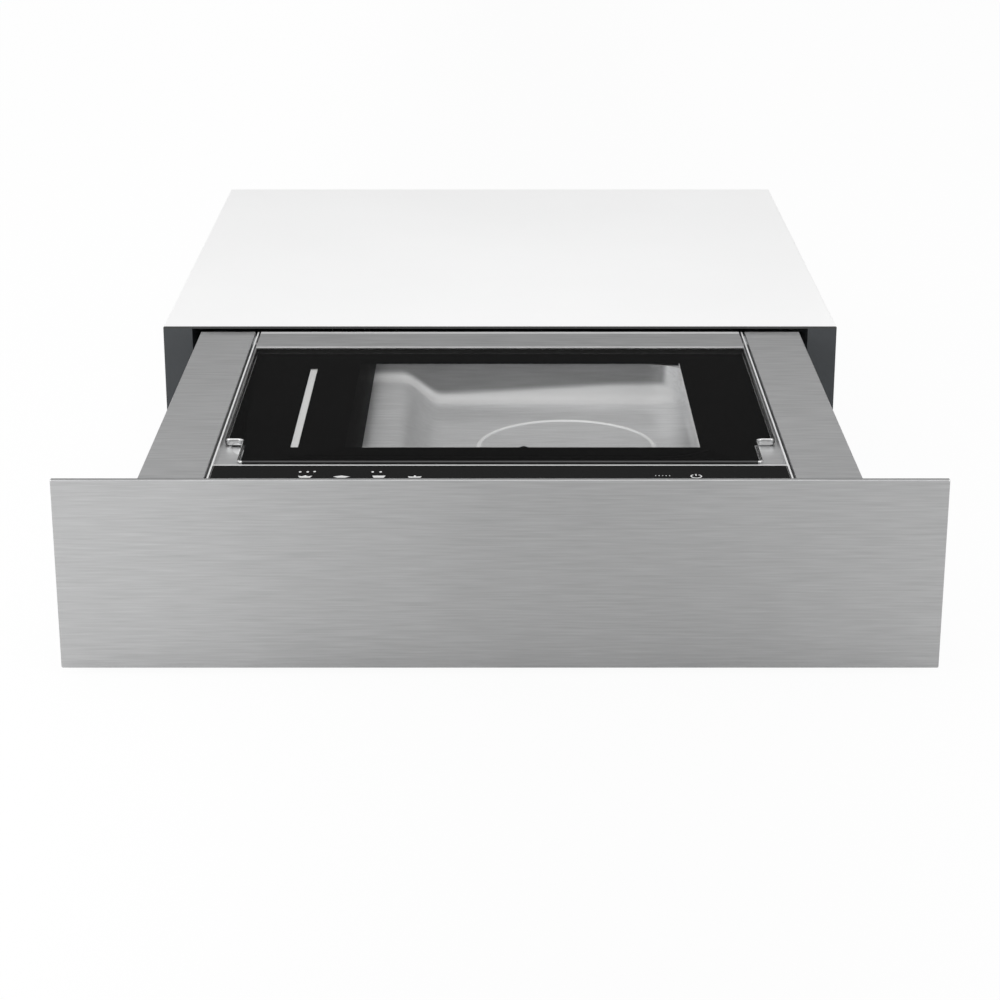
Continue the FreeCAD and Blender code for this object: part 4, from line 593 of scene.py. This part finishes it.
def tub_painted_highlights(look, across, along, up):
    """A painted highlight on the ring in the floor and on the bend at its rear."""
    side_on, end_on = across - RING_PLACE[0], along - RING_PLACE[1]
    reach = (side_on * side_on + end_on * end_on).math("SQRT")
    ring = look.span((reach - RING_RADIUS).math("ABSOLUTE"), RING_HALF * 0.6, RING_HALF, 1.0, 0.0)
    lift = above_floor(look, across, up)
    top = bend_top(look, across)
    bend = look.span(along, REAR_BEND_FROM, REAR_BEND_TO)
    bend = bend * look.span(lift - top, 0.0, BEND_BLUR, 1.0, 0.0)
    return (ring + bend).math("MINIMUM", 1.0)


def rear_wall_painted_shade(look, across, along, up):
    """Painted shade over the upper part of the rear wall, above the bend."""
    lift = above_floor(look, across, up)
    wall = look.span(along, REAR_WALL_FROM, REAR_WALL_TO)
    return wall * look.span(lift - bend_top(look, across), SHADE_FROM, SHADE_TO) * SHADE_SHARE


# The tub's steel carries a painted highlight on the ring and the rear bend, and painted shade on the upper
# rear wall.
tub_steel = brushed(
    "tub_steel", 0.86, 0.38, streak=(30.0, 400.0, 400.0), strength=0.35,
    painted_highlight=tub_painted_highlights, metal=0.65, painted_shade=rear_wall_painted_shade,
)
dress(tub_steel, "chamber_tub")
lip_rubber = moulded("lip_rubber", grey(0.018), 0.7, 1200.0)
dress(lip_rubber, "pump_feet")


def rounded_ring(corners, inset, steps=8):
    """Points along an outline that is rounded at its corners and drawn in by that inset."""
    ring = []
    for i, (x, y, radius) in enumerate(corners):
        here = Vector((x, y))
        into = (here - Vector(corners[i - 1][:2])).normalized()
        out = (Vector(corners[(i + 1) % len(corners)][:2]) - here).normalized()
        inward = Vector((-into.y, into.x)) + Vector((-out.y, out.x))
        convex = into.x * out.y - into.y * out.x > 0
        way = 1 if convex else -1
        centre = here + inward * radius * way
        begin = math.atan2(into.x * way, -into.y * way) + math.pi
        for step in range(steps + 1):
            a = begin + way * math.pi / 2 * step / steps
            r = radius - way * inset
            ring.append((centre.x + r * math.cos(a), centre.y + r * math.sin(a)))
    return ring


LIP_WIDTH, LIP_FRONT_RADIUS, LIP_REAR_RADIUS = 0.0045, 0.0435, 0.0275
LIP_CROWN, LIP_STEPS = 0.0005, 14
EDGE_MIDDLE = 0.3


def lip_mesh(low, high):
    """A closed rubber ring with rounded upper edges and wider bends at its front corners."""
    corners = [
        (low.x, low.y, LIP_FRONT_RADIUS), (high.x, low.y, LIP_FRONT_RADIUS),
        (high.x, high.y, LIP_REAR_RADIUS), (low.x, high.y, LIP_REAR_RADIUS),
    ]
    width, crown, middle = LIP_WIDTH, LIP_CROWN, LIP_CROWN * EDGE_MIDDLE
    section = [
        (0.0, low.z), (0.0, high.z - crown), (middle, high.z - middle), (crown, high.z),
        (width - crown, high.z), (width - middle, high.z - middle),
        (width, high.z - crown), (width, low.z),
    ]
    lip = bmesh.new()
    rings = [
        [lip.verts.new((x, y, z)) for x, y in rounded_ring(corners, inset, LIP_STEPS)]
        for inset, z in section
    ]
    for here, beyond in zip(rings, rings[1:] + rings[:1]):
        for i in range(len(here)):
            j = (i + 1) % len(here)
            lip.faces.new((here[i], here[j], beyond[j], beyond[i])).smooth = True
    mesh = bpy.data.meshes.new("seal_lip")
    lip.to_mesh(mesh)
    lip.free()
    return mesh


seal_lip = new_piece("seal_lip", lip_mesh(*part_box("chamber_gasket")), "drawer", lip_rubber)
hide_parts("chamber_gasket")


# Controls: a strip of glass printed black from behind, with white marks for the touch keys
# and small dots for their lights. It is bonded into the front of the deck.
control_black = moulded("control_black", grey(0.014), 0.08, 2500.0, 0.0)
control_edge = bare_metal("control_edge", grey(0.50), 0.3, 900.0, 0.000002)
eased("control_pane", "control_glass", 0.0007, control_black, control_edge)
CONTROL_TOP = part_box("control_glass")[1].z
MARK_RISE, MARK_THICK = 0.00002, 0.00006
LAMP_RADIUS, KEY_DOT_RADIUS = 0.0009, 0.0004
DOT_STRETCH, DOT_SIDES = (1.0, 1.6, 1.0), 16
LAMP_DOTS = [(-137.5, -365.3), (-132.3, -365.3), (-127.6, -364.6), (-87.6, -365.3), (-82.1, -365.3)]
KEY_DOT_LEFT, KEY_DOT_STEP, KEY_DOT_ROWS = 106.6, 2.4, (-373.5, -380.2)
KEY_DOTS = [(KEY_DOT_LEFT + KEY_DOT_STEP * i, y) for i in range(5) for y in KEY_DOT_ROWS]


def dot_mesh(name, places, radius, look):
    """One small printed disc at each place, made by geometry nodes."""
    points = bpy.data.meshes.new(name)
    height = CONTROL_TOP + MARK_RISE + MARK_THICK / 2
    points.from_pydata([(x / 1000, y / 1000, height) for x, y in places], [], [])
    piece = new_piece(name, points, None)
    tree = bpy.data.node_groups.new(name, "GeometryNodeTree")
    graph = Graph(tree)
    tree.interface.new_socket("Places", in_out="INPUT", socket_type="NodeSocketGeometry")
    size = tree.interface.new_socket("Dot radius", in_out="INPUT", socket_type="NodeSocketFloat")
    thick = tree.interface.new_socket("Print thickness", in_out="INPUT", socket_type="NodeSocketFloat")
    tree.interface.new_socket("Dots", in_out="OUTPUT", socket_type="NodeSocketGeometry")
    given = graph.node("NodeGroupInput").socket.node.outputs
    wide, deep = Sock(graph, given["Dot radius"]), Sock(graph, given["Print thickness"])
    disc = graph.node("GeometryNodeMeshCylinder", {"Vertices": DOT_SIDES, "Radius": wide, "Depth": deep})
    spread = graph.node(
        "GeometryNodeInstanceOnPoints",
        {"Points": Sock(graph, given["Places"]), "Instance": disc, "Scale": DOT_STRETCH},
    )
    solid = graph.node("GeometryNodeRealizeInstances", (spread,))
    painted = graph.node("GeometryNodeSetMaterial", {"Geometry": solid, "Material": look.owner})
    graph.node("NodeGroupOutput", (painted,))
    dots = piece.modifiers.new("dots", "NODES")
    dots.node_group = tree
    dots[size.identifier] = radius
    dots[thick.identifier] = MARK_THICK
    view = bpy.context.evaluated_depsgraph_get()
    finished = bpy.data.meshes.new_from_object(piece.evaluated_get(view))
    piece.modifiers.clear()
    piece.data = finished
    return piece


def printed(name, outlines, look, base, body):
    """Flat printed shapes, each a closed outline in millimetres that runs anticlockwise."""
    flat = bmesh.new()
    for outline in outlines:
        low = [flat.verts.new((x / 1000, y / 1000, base)) for x, y in outline]
        high = [flat.verts.new((x / 1000, y / 1000, base + MARK_THICK)) for x, y in outline]
        flat.faces.new(high)
        flat.faces.new(low[::-1])
        for i, here in enumerate(low):
            flat.faces.new((here, low[(i + 1) % len(low)], high[(i + 1) % len(low)], high[i]))
    mesh = bpy.data.meshes.new(name)
    flat.to_mesh(mesh)
    flat.free()
    return new_piece(name, mesh, body, look)


ARC_STEPS = 28


def arc(x, y, radius, start, end):
    turn = [math.radians(start + (end - start) * i / ARC_STEPS) for i in range(ARC_STEPS + 1)]
    return [(x + radius * math.cos(a), y + radius * math.sin(a)) for a in turn]


def rectangle(left, right, front, rear):
    return [(left, front), (right, front), (right, rear), (left, rear)]


white_ink = moulded("white_ink", grey(0.80), 0.5, 3000.0, 0.000002)
lamp_dots = dot_mesh("lamp_dots", LAMP_DOTS, LAMP_RADIUS, white_ink)
key_dots = dot_mesh("key_dots", KEY_DOTS, KEY_DOT_RADIUS, white_ink)
for dots in (lamp_dots, key_dots):
    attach(dots, "drawer")

KEY_Y = -377.8
KEY_OUTLINES = [
    [(-137, 0), (-130, 0), (-128.6, 4.2), (-131.6, 3.0), (-133.4, 5.2), (-135.4, 3.0), (-138.4, 4.2)],
    [(-111, 0), (-106, 0), (-102.8, 2.4), (-108.5, 4.6), (-114.2, 2.4)],
    [(-86.5, 0), (-79.5, 0), (-78.4, 4.4), (-87.4, 4.4)],
    [(-62.4, 0), (-54.4, 0), (-53.6, 3.0), (-57.2, 2.2), (-58.3, 5.4), (-59.4, 2.2), (-63.0, 3.0)],
]
key_shapes = [[(x, KEY_Y + rise) for x, rise in outline] for outline in KEY_OUTLINES]
POWER_X, POWER_Y = 134.4, -374.6
POWER_OUTER, POWER_INNER, POWER_FROM, POWER_TO = 4.0, 3.1, 122, 418
POWER_BAR_HALF, POWER_BAR_FROM, POWER_BAR_TO = 0.45, 1.0, 4.6
power_ring = arc(POWER_X, POWER_Y, POWER_OUTER, POWER_FROM, POWER_TO)
power_ring += arc(POWER_X, POWER_Y, POWER_INNER, POWER_TO, POWER_FROM)
power_bar = rectangle(
    POWER_X - POWER_BAR_HALF, POWER_X + POWER_BAR_HALF,
    POWER_Y + POWER_BAR_FROM, POWER_Y + POWER_BAR_TO,
)
printed("key_marks", key_shapes + [power_ring, power_bar], white_ink, CONTROL_TOP + MARK_RISE, "drawer")


# Sealing bar: an extruded alloy bar under a strip of coated cloth tape, with a heating strip
# between them. It stands on two rods that rise out of cast alloy cylinders.
alloy = bare_metal("cast_alloy", (0.58, 0.59, 0.60), 0.45, 350.0, 0.00004)
dress(alloy, "seal_bar", "lift_cylinders", "hinge_brackets", "pump_body", "motor_housing")
dress(moulded("cloth_tape", (0.42, 0.30, 0.17), 0.5, 1100.0), "seal_tape")


# Electrics: a laminated transformer with a copper winding, and lacquered circuit boards. The
# transformer and the power board stand on the tray's floor, the touch board under its glass.
def board_lacquer():
    look = Look("board_lacquer", Coat_Weight=0.4)
    flat = look.scaled(look.place(), 1.0, 1.0, 0.02)
    gap = look.node("ShaderNodeTexVoronoi", {"Vector": flat, "Scale": 260.0}, feature="DISTANCE_TO_EDGE")
    tracks = look.span(gap, 0.05, 0.09)
    green = look.mix(tracks, (0.03, 0.13, 0.05), (0.012, 0.06, 0.022))
    look.set(Base_Color=green, Roughness=tracks * 0.2 + 0.3)
    return look.bump(tracks, 0.00003)


def wound_copper():
    look = Look("wound_copper", Metallic=1.0)
    turns = look.node("ShaderNodeTexWave", {"Vector": look.place(), "Scale": 160.0}, bands_direction="Z")
    copper = look.mix(turns, (0.25, 0.09, 0.03), (0.72, 0.33, 0.14))
    look.set(Base_Color=copper, Roughness=turns * 0.1 + 0.3)
    return look.bump(turns, 0.0002)


dress(board_lacquer(), "touch_board", "power_board")
dress(wound_copper(), "seal_transformer")


# Lid: toughened glass with ground and polished edges and a notch at each front corner. It is
# printed black from below, but for a window over the chamber and a slot over the counter bar.
GLASS_LOW, GLASS_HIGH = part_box("lid_glass")
PRINT_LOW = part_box("lid_mask")[0]
NOTCH_WIDTH, NOTCH_DEPTH, NOTCH_RADIUS = 0.0134, 0.051, 0.004
NOTCH_REACH_ALONG, NOTCH_REACH_ACROSS = 0.001, 0.004
ARRIS, REAR_CORNER_RADIUS, GLASS_IOR = 0.0008, 0.0012, 1.5


def clear_glass(name, tint):
    """Flat glass that mirrors by its angle and lets the rest straight through."""
    look = Look(name)
    back = Sock(look, look.node("ShaderNodeNewGeometry").socket.node.outputs["Backfacing"])
    mirror = look.node("ShaderNodeFresnel", (GLASS_IOR,)) * (1.0 - back)
    clear = look.node("ShaderNodeBsdfTransparent", (tint,))
    gloss = look.node("ShaderNodeBsdfAnisotropic", {"Color": grey(0.95), "Roughness": 0.03})
    return look.surface(look.node("ShaderNodeMixShader", (mirror, clear, gloss)))


def lid_pane():
    x, front, rear = GLASS_HIGH.x, GLASS_LOW.y, GLASS_HIGH.y
    inner, shoulder = x - NOTCH_WIDTH, front + NOTCH_DEPTH
    square, round_off = REAR_CORNER_RADIUS, NOTCH_RADIUS
    corners = [
        (-inner, front, round_off), (inner, front, round_off), (inner, shoulder, round_off),
        (x, shoulder, round_off), (x, rear, square), (-x, rear, square),
        (-x, shoulder, round_off), (-inner, shoulder, round_off),
    ]
    low, high, arris_middle = GLASS_LOW.z, GLASS_HIGH.z, ARRIS * EDGE_MIDDLE
    levels = [
        (ARRIS, low), (arris_middle, low + arris_middle), (0.0, low + ARRIS),
        (0.0, high - ARRIS), (arris_middle, high - arris_middle), (ARRIS, high),
    ]
    pane = bmesh.new()
    rings = [
        [pane.verts.new((px, py, z)) for px, py in rounded_ring(corners, inset)]
        for inset, z in levels
    ]
    pane.faces.new(rings[0][::-1])
    pane.faces.new(rings[-1])
    for below, above in zip(rings, rings[1:]):
        for i in range(len(below)):
            j = (i + 1) % len(below)
            side_face = pane.faces.new((below[i], below[j], above[j], above[i]))
            middle = side_face.calc_center_median()
            # Edge faces in the notches take the painted highlight, the other edge faces the painted shade.
            in_notch = (
                middle.y < shoulder + NOTCH_REACH_ALONG
                and abs(middle.x) > inner - NOTCH_REACH_ACROSS
            )
            side_face.material_index = 1 + in_notch
            side_face.smooth = True
    mesh = bpy.data.meshes.new("lid_pane")
    pane.to_mesh(mesh)
    pane.free()
    return mesh


glass = clear_glass("lid_glass_clear", grey(0.95))
# The glass edges are painted: nearly black with a coat on the long edges as painted shade, bright grey metal
# in the notches as painted highlight.
edge_painted_shade = moulded("glass_edge", grey(0.02), 0.12, 2000.0, 0.000002, 0.5)
edge_painted_highlight = bare_metal("glass_edge_bright", grey(0.80), 0.2, 900.0, 0.000002)
pane = new_piece("lid_pane", lid_pane(), "lid", glass, edge_painted_shade, edge_painted_highlight)
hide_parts("lid_glass")

black_print = moulded("black_print", grey(0.006), 0.6, 2500.0, 0.000002)
black_print.set(Specular_IOR_Level=0.0)
dress(black_print, "lid_mask")
dress(moulded("silicone", (0.93, 0.93, 0.92), 0.55, 1600.0, 0.00006), "counter_bar")

WINDOW_LEFT, WINDOW_CLEAR, WINDOW_FRONT, WINDOW_REAR = -111.0, -98.5, -299.0, -82.0
FADE_DENSE, FADE_THIN, FADE_RISE = 0.84, 0.70, 0.0001


def faded_print():
    """The print thins out towards the window."""
    look = Look("faded_print", Roughness=0.6, Specular_IOR_Level=0.0)
    place = look.place()
    across = look.split(place)[0]
    fade = look.span(across, WINDOW_LEFT / 1000, WINDOW_CLEAR / 1000, FADE_DENSE, FADE_THIN)
    grain = look.noise(place, 900.0, 2.0)
    return look.set(Base_Color=look.mix(grain, grey(0.006), grey(0.010)), Alpha=fade)


strip = rectangle(WINDOW_LEFT, WINDOW_CLEAR, WINDOW_FRONT, WINDOW_REAR)
printed("window_fade", [strip], faded_print(), PRINT_LOW.z + FADE_RISE, "lid")
arrow = [(13.5, WINDOW_FRONT), (20.5, WINDOW_FRONT), (17.0, WINDOW_FRONT + 3.6)]
printed("window_arrow", [arrow], black_print, PRINT_LOW.z + FADE_RISE, "lid")
# Thin painted highlights along the window's front and right edges, in the white ink.
WINDOW_RIGHT, LINE_FRONT, LINE_SIDE = 143.0, 1.2, 0.5
line_rear = WINDOW_FRONT + LINE_FRONT
window_lines = [
    rectangle(WINDOW_CLEAR, WINDOW_RIGHT, WINDOW_FRONT, line_rear),
    rectangle(WINDOW_RIGHT - LINE_SIDE, WINDOW_RIGHT, line_rear, WINDOW_REAR),
]
printed("window_lines", window_lines, white_ink, PRINT_LOW.z + MARK_RISE, "lid")
bar_grip = rectangle(-151.5, -142.0, -99.0, -93.5)
grip_steel = bare_metal("grip_steel", grey(0.45), 0.35)
printed("bar_grip", [bar_grip], grip_steel, PRINT_LOW.z + MARK_RISE, "lid")
